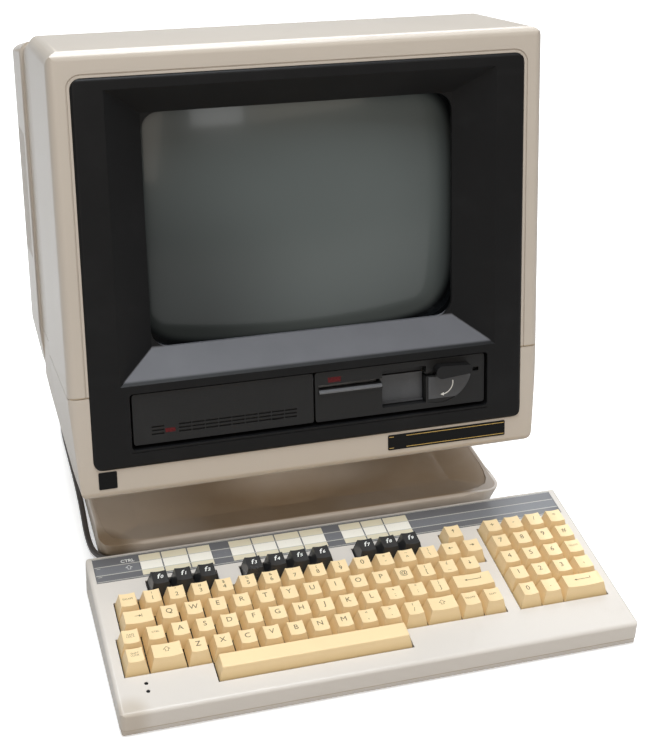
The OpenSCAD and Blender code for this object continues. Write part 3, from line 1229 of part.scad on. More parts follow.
upper_case();
lower_case();
rear_cover();
bezel();
screen_tube();
deflection_yoke();
neck_board();
hard_drive_panel();
hard_drive_body();
floppy_fascia();
drive_lights();
floppy_body();
floppy_lever();
label_plates();
main_board();
power_supply();
fan_frame();
fan_rotor();
rear_sockets();
mains_inlet();
power_switch();
brightness_knob();
contrast_knob();
case_screws();
tilt_bracket();
cradle();
tilt_pin();
swivel_bolt();
base_plate();
rubber_feet();
keyboard_top();
keyboard_base();
label_strip();
key_plate();
key_switches();
keyboard_board();
keyboard_lights();
strain_relief();
keyboard_lead();
lead_coil();
lead_plug();
function_keys();
number_keys();
top_letter_keys();
home_letter_keys();
bottom_letter_keys();
escape_key();
tab_key();
caps_lock_key();
control_key();
shift_lock_key();
left_shift_key();
right_shift_key();
return_key();
delete_key();
copy_key();
space_bar();
cursor_keys();
keypad_keys();
keypad_return_key();
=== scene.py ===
"""Finishes, legends, printed strips, lead and stage of an early desktop computer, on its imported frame."""

import json
import math

import bmesh
import bpy
from bpy.props import (
    BoolProperty,
    FloatProperty,
    FloatVectorProperty,
    IntProperty,
    PointerProperty,
)
from mathutils import Matrix, Vector


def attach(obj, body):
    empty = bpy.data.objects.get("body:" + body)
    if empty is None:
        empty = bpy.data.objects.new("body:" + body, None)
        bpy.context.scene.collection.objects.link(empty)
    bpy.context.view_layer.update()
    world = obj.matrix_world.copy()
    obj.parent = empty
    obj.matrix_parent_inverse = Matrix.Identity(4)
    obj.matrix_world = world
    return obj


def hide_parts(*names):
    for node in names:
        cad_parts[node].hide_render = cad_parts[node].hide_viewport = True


bl_info = {
    "name": "Early Desktop Computer",
    "version": (1, 0, 0),
    "blender": (4, 5, 0),
    "location": "3D View > Sidebar > Computer",
    "description": "Mouldings, keys, prints, lead and stage of a desktop computer",
    "category": "Object",
}

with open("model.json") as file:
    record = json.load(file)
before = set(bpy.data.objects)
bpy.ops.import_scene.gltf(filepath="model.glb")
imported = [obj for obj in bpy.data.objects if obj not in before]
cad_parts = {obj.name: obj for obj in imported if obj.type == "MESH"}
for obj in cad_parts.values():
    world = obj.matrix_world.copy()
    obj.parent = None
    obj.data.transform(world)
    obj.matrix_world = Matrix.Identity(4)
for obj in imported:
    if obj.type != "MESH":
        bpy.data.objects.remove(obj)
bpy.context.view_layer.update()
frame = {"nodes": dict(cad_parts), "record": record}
NODES = frame["nodes"]
MM = 0.001

# ------------------------ places

# Millimetres and degrees, as the part has them
STAND = Vector((-14.1, 53.0203, 0.0))
BASE_SHIFT = 5.0
BASE_HALF = Vector((178.0, 120.0))
BASE_CORNER = 38.0
BASE_EDGE_CORNER = 13.0
PIN = Vector((0.0, 148.5, -11.5506))
PIN_HEIGHT = 79.0
LEAN = 12.1
SEAM = 61.0
SCREEN_MIDDLE = 182.0
SCREEN_HALF = Vector((126.0, 93.0))
KEYS_AT = Vector((-188.6, -206.087, 34.884))
SLOPE = 5.0
DECK = -10.0
PITCH = 19.05
KEYBOARD_SEAM = 6.0

# The head's frame, its front with y upwards, and the keys' frame, from millimetres to metres
HEAD = (
    Matrix.Scale(MM, 4)
    @ Matrix.Translation((STAND.x, STAND.y, PIN_HEIGHT))
    @ Matrix.Rotation(math.radians(-LEAN), 4, "X")
    @ Matrix.Translation(-PIN)
)
FRONT = HEAD @ Matrix.Rotation(math.radians(90), 4, "X")
KEYS = (
    Matrix.Scale(MM, 4)
    @ Matrix.Translation(KEYS_AT)
    @ Matrix.Rotation(math.radians(SLOPE), 4, "X")
)


# ------------------------ shader maths


class Value:
    """A socket of a tree, with the arithmetic of the Math nodes."""

    def __init__(self, nodes, socket):
        self.nodes = nodes
        self.socket = socket

    def math(self, operation, *others):
        return self.nodes.math(operation, self, *others)

    def __add__(self, other):
        return self.math("ADD", other)

    __radd__ = __add__

    def __mul__(self, other):
        return self.math("MULTIPLY", other)

    __rmul__ = __mul__

    def __sub__(self, other):
        return self.math("SUBTRACT", other)

    def __rsub__(self, other):
        return self.nodes.math("SUBTRACT", other, self)

    def __truediv__(self, other):
        return self.math("DIVIDE", other)

    def __abs__(self):
        return self.math("ABSOLUTE")

    def power(self, other):
        return self.math("POWER", other)

    def most(self, other):
        return self.math("MAXIMUM", other)

    def ramp(self, low, high):
        """0 at low and 1 at high, with soft ends; low may be above high."""
        settings = {"interpolation_type": "SMOOTHSTEP", "clamp": True}
        sockets = {0: self, 1: min(low, high), 2: max(low, high), 3: 0.0, 4: 1.0}
        value = Value(self.nodes, self.nodes.node("ShaderNodeMapRange", settings, sockets).outputs[0])
        return value if low < high else 1.0 - value


def distance(across, along):
    """Length of the line whose parts along two axes are given."""
    return (across * across + along * along).power(0.5)


class Nodes:
    """A tree of nodes, of a material, the world or a modifier."""

    def __init__(self, tree):
        self.tree = tree
        tree.nodes.clear()

    def node(self, kind, settings=None, sockets=None):
        """Adds any node: its settings first, then its sockets' values or links."""
        node = self.tree.nodes.new(kind)
        for name, value in (settings or {}).items():
            setattr(node, name, value)
        for key, value in (sockets or {}).items():
            socket = node.inputs[key]
            if isinstance(value, Value):
                value = value.socket
            if isinstance(value, bpy.types.NodeSocket):
                self.tree.links.new(value, socket)
            elif socket.type == "RGBA" and len(value) == 3:
                socket.default_value = (*value, 1.0)
            else:
                socket.default_value = value
        return node

    def math(self, operation, *terms):
        return Value(self, self.node("ShaderNodeMath", {"operation": operation}, dict(enumerate(terms))).outputs[0])

    def for_camera(self, seen, other):
        """A shader that the camera sees as one and everything else as the other."""
        ray = self.node("ShaderNodeLightPath").outputs["Is Camera Ray"]
        return self.node("ShaderNodeMixShader", {}, {0: ray, 1: other, 2: seen}).outputs[0]


class Finish(Nodes):
    """A material built from expressions. Lengths are in metres, on Object coordinates."""

    def __init__(self, name, matrix=None):
        self.material = bpy.data.materials.new(name)
        self.material.use_nodes = True
        super().__init__(self.material.node_tree)
        place = self.node("ShaderNodeTexCoord").outputs["Object"]
        if matrix is not None:
            unit = Matrix.Scale(MM, 4) @ matrix.inverted()
            sockets = {"Vector": place, "Location": unit.to_translation(), "Rotation": unit.to_euler()}
            place = self.node("ShaderNodeMapping", {"vector_type": "POINT"}, sockets).outputs[0]
        self.place = place
        split = self.node("ShaderNodeSeparateXYZ", {}, {0: place})
        self.x, self.y, self.z = (Value(self, split.outputs[i]) for i in range(3))

    def noise(self, size, detail=3.0, roughness=0.55, stretch=None, shift=0.0):
        """Noise from 0 to 1 whose features are about size metres across."""
        vector = self.place
        if stretch is not None or shift:
            sockets = {"Vector": vector, "Scale": stretch or (1, 1, 1), "Location": (shift,) * 3}
            vector = self.node("ShaderNodeMapping", {"vector_type": "POINT"}, sockets).outputs[0]
        sockets = {"Vector": vector, "Scale": 1.0 / size, "Detail": detail, "Roughness": roughness}
        return Value(self, self.node("ShaderNodeTexNoise", {"noise_dimensions": "3D"}, sockets).outputs[0])

    def cells(self, size):
        """Distance from the nearest of scattered points, for cells about size metres across."""
        sockets = {"Vector": self.place, "Scale": 1.0 / size}
        return Value(self, self.node("ShaderNodeTexVoronoi", {"feature": "F1"}, sockets).outputs[0])

    def mix(self, amount, first, second):
        """Colour: first where amount is 0, second where it is 1."""
        settings = {"data_type": "RGBA", "blend_type": "MIX"}
        return self.node("ShaderNodeMix", settings, {0: amount, 6: first, 7: second}).outputs[2]

    def shade(self, colour, amount):
        """Colour darkened or lightened by a factor that varies."""
        return self.node("ShaderNodeVectorMath", {"operation": "SCALE"}, {0: colour, 3: amount}).outputs[0]

    def bump(self, height, depth, strength):
        return self.node("ShaderNodeBump", {}, {"Height": height, "Distance": depth, "Strength": strength}).outputs[0]

    def finish(self, colour, roughness, normal, **constants):
        """The Principled shader and the output; constants go straight onto its sockets."""
        sockets = {"Base Color": colour, "Roughness": roughness, "Normal": normal}
        names = {
            "metallic": "Metallic",
            "coat": "Coat Weight",
            "coat_roughness": "Coat Roughness",
            "specular": "Specular IOR Level",
        }
        sockets.update({names[key]: value for key, value in constants.items()})
        shader = self.node("ShaderNodeBsdfPrincipled", {}, sockets)
        self.node("ShaderNodeOutputMaterial", {}, {"Surface": shader.outputs[0]})
        return self.material


# ------------------------ mesh helpers

MERGE = 2e-6
FLAT_ANGLE = 0.6
SHARP_ANGLE = 32.0
PRINT_ANGLE = 35.0
MATERIALS = {}


def share(value, start, width):
    """How far value has come from start over the width, from 0 to 1."""
    return min(1.0, max(0.0, (value - start) / width))


def new_object(name, data):
    holder = bpy.data.objects.new(name, data)
    bpy.context.scene.collection.objects.link(holder)
    return holder


def to_mesh(form, name):
    """The bmesh as a mesh; the bmesh is freed."""
    mesh = bpy.data.meshes.new(name)
    form.to_mesh(mesh)
    form.free()
    return mesh


def merge(form, added):
    """Moves everything from one bmesh into another."""
    mesh = to_mesh(added, "added")
    form.from_mesh(mesh)
    bpy.data.meshes.remove(mesh)


def soften(mesh, angle=SHARP_ANGLE):
    """Smooth shading that keeps edges sharper than the angle."""
    mesh.shade_smooth()
    mesh.set_sharp_from_angle(angle=math.radians(angle))


def paint(material, *nodes):
    """Gives a material by its name to CAD nodes that keep their own mesh, or to new pieces."""
    for node in nodes:
        mesh = NODES[node].data if isinstance(node, str) else node.data
        mesh.materials.clear()
        mesh.materials.append(MATERIALS[material])


def add_piece(name, form, matrix, material, body, slot):
    """A piece from a bmesh in millimetres, put in place by its frame's matrix."""
    form.transform(matrix)
    piece = new_object(name, to_mesh(form, name))
    soften(piece.data, PRINT_ANGLE)
    paint(material, piece)
    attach(piece, body)


def plain_mesh(piece):
    """The piece's evaluated mesh, with its modifiers applied."""
    graph = bpy.context.evaluated_depsgraph_get()
    graph.update()
    return bpy.data.meshes.new_from_object(piece.evaluated_get(graph), depsgraph=graph)


def make_plain(piece):
    """Gives the piece its evaluated mesh and clears its modifiers."""
    mesh, finished = piece.data, plain_mesh(piece)
    piece.modifiers.clear()
    piece.data = finished
    bpy.data.meshes.remove(mesh)


def take_form(holder):
    """What a passing object evaluates to, as a bmesh; the object is removed."""
    mesh = plain_mesh(holder)
    form = bmesh.new()
    form.from_mesh(mesh)
    bpy.data.objects.remove(holder)
    bpy.data.meshes.remove(mesh)
    return form


def level_normals(piece):
    """Lets large flat faces set the shading of the edges they share with small ones."""
    weight = piece.modifiers.new("Normals", "WEIGHTED_NORMAL")
    weight.mode = "FACE_AREA"
    weight.keep_sharp = True
    make_plain(piece)


def body_of(node):
    for body, members in frame["record"]["behaviour"]["bodies"].items():
        if node in members:
            return body
    raise ValueError(f"no body holds {node}")


def moulded(node, material, width, segments=2, limit=28.0, suffix="_moulding"):
    """A copy of a CAD node with its edges rounded, which stands for the node; width 0 leaves them sharp."""
    form = bmesh.new()
    form.from_mesh(NODES[node].data)
    bmesh.ops.remove_doubles(form, verts=form.verts, dist=MERGE)
    bmesh.ops.dissolve_limit(
        form, angle_limit=math.radians(FLAT_ANGLE), use_dissolve_boundaries=False,
        verts=form.verts, edges=form.edges,
    )
    piece = new_object(node + suffix, to_mesh(form, node + suffix))
    if width > 0:
        bevel = piece.modifiers.new("Edges", "BEVEL")
        bevel.width = width * MM
        bevel.segments = segments
        bevel.limit_method = "ANGLE"
        bevel.angle_limit = math.radians(limit)
        bevel.use_clamp_overlap = True
        bevel.miter_outer = "MITER_ARC"
        make_plain(piece)
    soften(piece.data)
    level_normals(piece)
    paint(material, piece)
    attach(piece, body_of(node))
    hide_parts(node)
    return piece


def add_box(form, low, high):
    centre = [(a + b) / 2 for a, b in zip(low, high)]
    size = [b - a for a, b in zip(low, high)]
    bmesh.ops.create_cube(form, size=1.0, matrix=Matrix.Translation(centre) @ Matrix.Diagonal((*size, 1.0)))


def add_plate(form, points, z=0.0):
    """A flat face at height z, which faces up where its [x, y] points run anticlockwise."""
    form.faces.new([form.verts.new((x, y, z)) for x, y in points])


def add_line(form, points, width, overrun=0.5, z=0.0):
    """A flat line of straight stretches, each drawn out at its ends by a share of the width."""
    for start, end in zip(points, points[1:]):
        start, end = Vector(start), Vector(end)
        along = (end - start).normalized() * width
        side = Vector((-along.y, along.x)) / 2
        start, end = start - along * overrun, end + along * overrun
        add_plate(form, [start - side, end - side, end + side, start + side], z)


def cell_nodes():
    """Geometry nodes that lay a flat cell on each point, as large as the point's size less a gap across."""
    group = bpy.data.node_groups.new("printed_cells", "GeometryNodeTree")
    group.is_modifier = True
    for name, way, kind in (
        ("Points", "INPUT", "Geometry"), ("Gap", "INPUT", "Float"), ("Ink", "INPUT", "Material"),
        ("Cells", "OUTPUT", "Geometry"),
    ):
        group.interface.new_socket(name, in_out=way, socket_type="NodeSocket" + kind)
    g = Nodes(group)
    given = g.node("NodeGroupInput").outputs
    size = g.node("GeometryNodeInputNamedAttribute", {"data_type": "FLOAT_VECTOR"}, {"Name": "size"})
    gap = g.node("ShaderNodeCombineXYZ", {}, {"X": given["Gap"]})
    scale = g.node("ShaderNodeVectorMath", {"operation": "SUBTRACT"}, {0: size.outputs[0], 1: gap.outputs[0]})
    cell = g.node("GeometryNodeMeshGrid", {}, {"Size X": 1.0, "Size Y": 1.0, "Vertices X": 2, "Vertices Y": 2})
    sockets = {"Points": given["Points"], "Instance": cell.outputs["Mesh"], "Scale": scale.outputs[0]}
    laid = g.node("GeometryNodeInstanceOnPoints", {}, sockets)
    real = g.node("GeometryNodeRealizeInstances", {}, {0: laid.outputs[0]})
    inked = g.node("GeometryNodeSetMaterial", {}, {"Geometry": real.outputs[0], "Material": given["Ink"]})
    g.node("NodeGroupOutput", {}, {"Cells": inked.outputs[0]})
    return group


def printed(name, cells, gap, matrix, material, body, slot):
    """A piece of flat cells, each given as (x0, y0, x1, y1, z), laid by geometry nodes."""
    form = bmesh.new()
    size = form.verts.layers.float_vector.new("size")
    for x0, y0, x1, y1, z in cells:
        form.verts.new(((x0 + x1) / 2, (y0 + y1) / 2, z))[size] = (x1 - x0, y1 - y0, 1.0)
    points = to_mesh(form, "points")
    holder = new_object("points", points)
    modifier = holder.modifiers.new("Cells", "NODES")
    modifier.node_group = bpy.data.node_groups.get("printed_cells") or cell_nodes()
    for socket, value in (("Gap", gap), ("Ink", MATERIALS[material])):
        modifier[modifier.node_group.interface.items_tree[socket].identifier] = value
    add_piece(name, take_form(holder), matrix, material, body, slot)
    bpy.data.meshes.remove(points)


# ------------------------ settings


class CaseSettings(bpy.types.PropertyGroup):
    colour: FloatVectorProperty(
        name="Case Colour", description="Paint of the cases", subtype="COLOR",
        default=(0.49, 0.430, 0.366), min=0.0, max=1.0,
    )
    stain: FloatVectorProperty(
        name="Stain Colour", description="Brown tint of the aged patches", subtype="COLOR",
        default=(0.36, 0.28, 0.19), min=0.0, max=1.0,
    )
    edge: FloatProperty(
        name="Edge Rounding", description="Rounding of the mouldings' edges in millimetres",
        default=0.7, min=0.1, max=2.0,
    )
    roughness: FloatProperty(
        name="Roughness", description="Roughness of the paint", subtype="FACTOR",
        default=0.40, min=0.0, max=1.0,
    )


class BezelSettings(bpy.types.PropertyGroup):
    colour: FloatVectorProperty(
        name="Bezel Colour", description="Plastic of the bezel", subtype="COLOR",
        default=(0.0070, 0.0070, 0.0075), min=0.0, max=1.0,
    )
    glass: FloatVectorProperty(
        name="Screen Colour", description="Grey of the unlit screen", subtype="COLOR",
        default=(0.088, 0.100, 0.099), min=0.0, max=1.0,
    )


class KeySettings(bpy.types.PropertyGroup):
    colour: FloatVectorProperty(
        name="Key Colour", description="Plastic of the light keys", subtype="COLOR",
        default=(0.80, 0.607, 0.345), min=0.0, max=1.0,
    )
    dark: FloatVectorProperty(
        name="Function Key Colour", description="Plastic of the function keys", subtype="COLOR",
        default=(0.030, 0.030, 0.031), min=0.0, max=1.0,
    )
    legend: FloatProperty(
        name="Legend Size", description="Height of the type in millimetres",
        default=6.8, min=3.0, max=8.0,
    )
    edge: FloatProperty(
        name="Edge Rounding", description="Rounding of the caps' edges in millimetres",
        default=0.9, min=0.2, max=1.5,
    )


class LeadSettings(bpy.types.PropertyGroup):
    diameter: FloatProperty(
        name="Diameter", description="Diameter of the keyboard's lead", subtype="DISTANCE", unit="LENGTH",
        default=0.005, min=0.003, max=0.008,
    )
    turns: IntProperty(
        name="Turns per Layer", description="Turns side by side in the coil", default=3, min=1, max=4,
    )


class StageSettings(bpy.types.PropertyGroup):
    lens: FloatProperty(
        name="Focal Length", description="Focal length of the camera in millimetres",
        default=70.74, min=20.0, max=200.0,
    )
    shift: FloatProperty(
        name="Vertical Shift", description="Vertical shift of the camera", default=-0.16, min=-0.5, max=0.5,
    )
    lamps: FloatProperty(
        name="Lamp Power", description="Scale of all the lamps", default=1.0, min=0.0, max=5.0,
    )
    show_floor: BoolProperty(name="Floor", description="Adds the pale floor", default=True)


# ------------------------ finishes


def satin_paint(name, colour, stain, roughness, matrix=None, brown=None, coat=0.55):
    """Fine metallic-looking paint with faint clouds and specks, and brown from a given mask: stains, and painted
    shade and light on the head and the base.
    """
    f = Finish(name, matrix)
    clouds = f.noise(0.09, 4.0)
    grain = f.noise(0.0009, 2.0)
    specks = f.cells(0.006)
    out = f.shade(colour, 0.965 + 0.05 * clouds + 0.035 * grain)
    dots = (0.055 - specks).ramp(0.0, 0.02) * f.noise(0.03, 2.0, shift=4.0).ramp(0.55, 0.7)
    out = f.mix(dots * 0.5, out, stain)
    # The given mask mixes in the stain colour: stains, and on the head and the base painted shade and painted light
    # as well.
    if brown is not None:
        out = f.mix(brown(f), out, stain)
    rough = roughness + 0.10 * (clouds - 0.5) + 0.05 * grain
    return f.finish(out, rough, f.bump(grain, 0.00006, 0.35), coat=coat, coat_roughness=0.22)


def moulded_plastic(
    name, colour, roughness, grain=0.0005, depth=0.00008, wear=0.5, coat=0.0, matrix=HEAD, dust=None, specular=0.4
):
    """Dark moulded plastic with a spark-eroded texture, smears of dust and faint scratches."""
    f = Finish(name, matrix)
    fine = f.noise(grain, 2.0)
    smear = f.noise(0.05, 5.0, 0.6)
    streak = f.noise(0.02, 3.0, 0.5, (0.15, 1.0, 1.0), 2.0)
    light = tuple(min(1.0, c * 2.4 + 0.012) for c in colour)
    amount = (smear.ramp(0.45, 0.85) * 0.35 + streak.ramp(0.62, 0.80) * 0.22) * wear
    out = f.mix(amount, f.shade(colour, 0.85 + 0.3 * fine), light)
    if dust is not None:
        # A given mask lightens towards dusty grey; on the bezel's lower slope it is partly a painted sheen.
        out = f.mix(dust(f), out, (0.16, 0.16, 0.175))
    return f.finish(
        out, roughness + 0.14 * (smear - 0.5), f.bump(fine, depth, 0.6),
        coat=coat, coat_roughness=0.3, specular=specular,
    )


def key_plastic(name, colour, stain):
    """Cream plastic that has yellowed unevenly, darker towards the skirts."""
    f = Finish(name, KEYS)
    patch = f.noise(0.03, 2.0)
    grain = f.noise(0.0007, 2.0)
    skirt = f.z.ramp(-0.0030, -0.0105)
    grime = (f.noise(0.004, 4.0) * 0.6 + patch * 0.4).ramp(0.52, 0.85)
    out = f.mix(skirt * 0.40 + grime * 0.10, f.shade(colour, 0.95 + 0.08 * patch + 0.03 * grain), stain)
    return f.finish(out, 0.46 + 0.14 * grime, f.bump(grain, 0.00005, 0.4), specular=0.45)


def ink(name, colour, roughness=0.5, wear=0.25):
    """Printed colour, a little broken where it has rubbed."""
    f = Finish(name)
    rub = f.noise(0.0016, 3.0).ramp(0.58, 0.78) * wear
    light = tuple(min(1.0, c + (0.5 - c) * 0.6) for c in colour)
    return f.finish(f.mix(rub, colour, light), roughness + 0.2 * rub, f.bump(rub, 0.00001, 0.2))


def metal(name, colour, roughness, streaks=True):
    """Plated or cast metal with faint brushing and dull spots."""
    f = Finish(name)
    lines = f.noise(0.0006, 2.0, 0.5, (0.05, 1.0, 1.0)) if streaks else f.noise(0.0012, 3.0)
    dull = f.noise(0.02, 4.0)
    out = f.shade(colour, 0.88 + 0.12 * lines + 0.08 * dull)
    return f.finish(out, roughness + 0.22 * dull.ramp(0.4, 0.8), f.bump(lines, 0.00003, 0.4), metallic=0.95)


def circuit_green():
    """Lacquered board with faint copper tracks under the mask."""
    f = Finish("circuit_board_lacquer")
    tracks = abs(f.noise(0.006, 1.0) - 0.5).ramp(0.03, 0.0)
    out = f.mix(tracks * 0.55, (0.012, 0.075, 0.035), (0.05, 0.19, 0.07))
    return f.finish(out, 0.35, f.bump(tracks, 0.00004, 0.4), coat=0.3)


def screen_glass(colour):
    """Grey phosphor under dark glass, black towards the edge of the picture, with painted light lighter towards the
    middle and the right and painted shade at the lower left.
    """
    f = Finish("screen_glass", HEAD)
    across = abs(f.x) / (SCREEN_HALF.x * MM)
    up = abs(f.z - SCREEN_MIDDLE * MM) / (SCREEN_HALF.y * MM)
    rim = (across.power(6.0) + up.power(6.0)).ramp(1.05, 1.6)
    # Painted light: lighter towards the middle of the picture.
    centre = (across * across + up * up * 0.8).ramp(1.5, 0.0)
    haze = f.noise(0.12, 3.0)
    # Painted shade at the lower left, and painted light that grows towards the right.
    painted_shade_low_left = distance(f.x + 0.11, f.z - 0.11).ramp(0.13, 0.02)
    side = (1.0 + 1.6 * f.x) * (1.0 - 0.42 * painted_shade_low_left)
    grey = f.shade(colour, (0.80 + 0.28 * centre + 0.10 * haze) * side)
    out = f.mix(rim, grey, (0.006, 0.007, 0.008))
    rough = 0.16 + 0.05 * f.noise(0.001, 2.0)
    return f.finish(out, rough, f.bump(haze, 0.00002, 0.1), coat=0.12, coat_roughness=0.06, specular=0.22)


def glossy_cord():
    """Dark brown-grey sheath with faint drag marks."""
    f = Finish("lead_sheath")
    mark = f.noise(0.004, 3.0)
    out = f.mix(mark.ramp(0.5, 0.9) * 0.4, (0.030, 0.020, 0.019), (0.065, 0.054, 0.052))
    return f.finish(out, 0.26 + 0.12 * mark, f.bump(f.noise(0.0008), 0.00003, 0.3), coat=0.6, coat_roughness=0.15)


def rubber():
    """Matt black rubber with a fine grain."""
    f = Finish("foot_rubber")
    grain = f.noise(0.0008, 3.0)
    return f.finish(f.shade((0.022, 0.022, 0.022), 0.8 + 0.4 * grain), 0.8, f.bump(grain, 0.00006, 0.5))


def copper_winding():
    """Varnished wire laid round the neck."""
    f = Finish("copper_winding", HEAD)
    turn = (f.y * 2400.0).math("SINE")
    out = f.mix(turn * 0.5 + 0.5, (0.30, 0.09, 0.03), (0.62, 0.24, 0.09))
    return f.finish(out, 0.35, f.bump(turn, 0.0002, 0.5), coat=0.4, metallic=0.5)


def red_lamp():
    """Unlit dark red window with small facets."""
    f = Finish("lamp_window")
    facet = f.cells(0.0012)
    out = f.mix(facet.ramp(0.0, 0.8), (0.13, 0.008, 0.010), (0.06, 0.004, 0.006))
    return f.finish(out, 0.35, f.bump(facet, 0.0001, 0.4), specular=0.2)


def strip_print(colour):
    """Dark blue-grey label film with a faint sheen."""
    f = Finish("strip_film", KEYS)
    fade = f.noise(0.05, 3.0)
    out = f.shade(colour, 0.85 + 0.35 * fade)
    return f.finish(out, 0.34 + 0.1 * fade, f.bump(f.noise(0.0009), 0.00002, 0.3), coat=0.2)


def floor_paper():
    """White to the camera apart from the shadow, and plain pale to everything else."""
    f = Finish("floor_paper")
    paper, plain = (
        f.node("ShaderNodeBsdfDiffuse", {}, {"Color": colour}).outputs[0]
        for colour in ((0.92, 0.92, 0.92), (0.62, 0.61, 0.60))
    )
    glow, white = (
        f.node("ShaderNodeEmission", {}, {"Color": (1.0, 1.0, 1.0), "Strength": strength}).outputs[0]
        for strength in (0.45, 1.0)
    )
    near = f.node("ShaderNodeAddShader", {}, {0: paper, 1: glow}).outputs[0]
    away = distance(f.x, f.y).ramp(1.2, 2.4)
    seen = f.node("ShaderNodeMixShader", {}, {0: away, 1: near, 2: white}).outputs[0]
    f.node("ShaderNodeOutputMaterial", {}, {"Surface": f.for_camera(seen, plain)})
    return f.material


def head_marks_and_shade(f):
    """Painted shade on the recessed neck, darker towards the underside, and dirt in the seam."""
    # Painted shade: a brown-tinted darkening of the neck, recessed between the hood and the rear cover.
    neck = f.y.ramp(0.116, 0.122) * f.y.ramp(0.201, 0.196)
    under = f.z.ramp(0.02, -0.03) * 0.10
    seam = abs(f.z - SEAM * MM).ramp(0.0011, 0.0005) * f.y.ramp(0.004, 0.002)
    return (neck * 0.30 * f.noise(0.05, 3.0, shift=7.0).ramp(0.2, 0.8) + under).most(seam * 0.9)


def funnel_dust_and_sheen(f):
    """Dust on the lower slope of the screen's recess, partly a painted sheen of the light from above."""
    slope = (f.z - f.y).ramp(0.0705, 0.0695) * f.y.ramp(-0.0005, 0.0015) * f.z.ramp(0.0675, 0.0690)
    return slope * (0.55 + 0.2 * f.noise(0.03, 4.0))


def base_rim(f, corner):
    """Distance outside the base's outline with corners of that radius."""
    middle = STAND.x + BASE_SHIFT, STAND.y
    beyond = [
        (abs(at - centre * MM) - (half - corner) * MM).most(0.0)
        for at, centre, half in zip((f.x, f.y), middle, BASE_HALF)
    ]
    return distance(*beyond) - corner * MM


def base_stain_and_painted_light(f):
    """Brown stain in the dish and on the front left corner; in the dish, painted light makes it lighter at the left,
    away from the head's shade, and a painted highlight lightens it in front of the dome.
    """
    inside = base_rim(f, BASE_EDGE_CORNER).ramp(-0.0022, -0.0032) * f.z.ramp(0.0205, 0.0215)
    inside = inside * f.z.ramp(0.0250, 0.0256).most(base_rim(f, BASE_CORNER).ramp(-0.0040, -0.0050))
    corner = distance(f.x + 0.182, f.y + 0.062).ramp(0.032, 0.010)
    cloud = f.noise(0.05, 4.0, shift=3.0).ramp(0.3, 0.75)
    # Painted light: the stain in the dish is lighter at the left, away from the head's shade.
    left = f.x.ramp(-0.075, -0.165)
    # Painted highlight: a lighter patch in front of the dome.
    apart = (abs(f.x - 0.002) - 0.018).most(0.0) * 0.45
    patch = distance(apart, f.y - 0.004).ramp(0.034, 0.010)
    dirt = inside * (0.88 + 0.10 * cloud - 0.46 * left - 0.50 * patch)
    return dirt.most(corner * 0.75 + left * 0.16 + cloud * 0.12)


def keyboard_age(f):
    """Brown haze at the keyboard's corner and in clouds, and dirt in the seam."""
    slope = math.radians(SLOPE)
    height = f.z * math.cos(slope) + f.y * math.sin(slope) + KEYS_AT.z * MM
    seam = abs(height - KEYBOARD_SEAM * MM).ramp(0.0008, 0.0003)
    corner = distance(f.x + 0.006, f.y + 0.042).ramp(0.018, 0.004)
    haze = corner * 0.45 + f.noise(0.03, 4.0, shift=5.0).ramp(0.6, 0.8) * 0.08
    return haze.most(seam * 0.85)


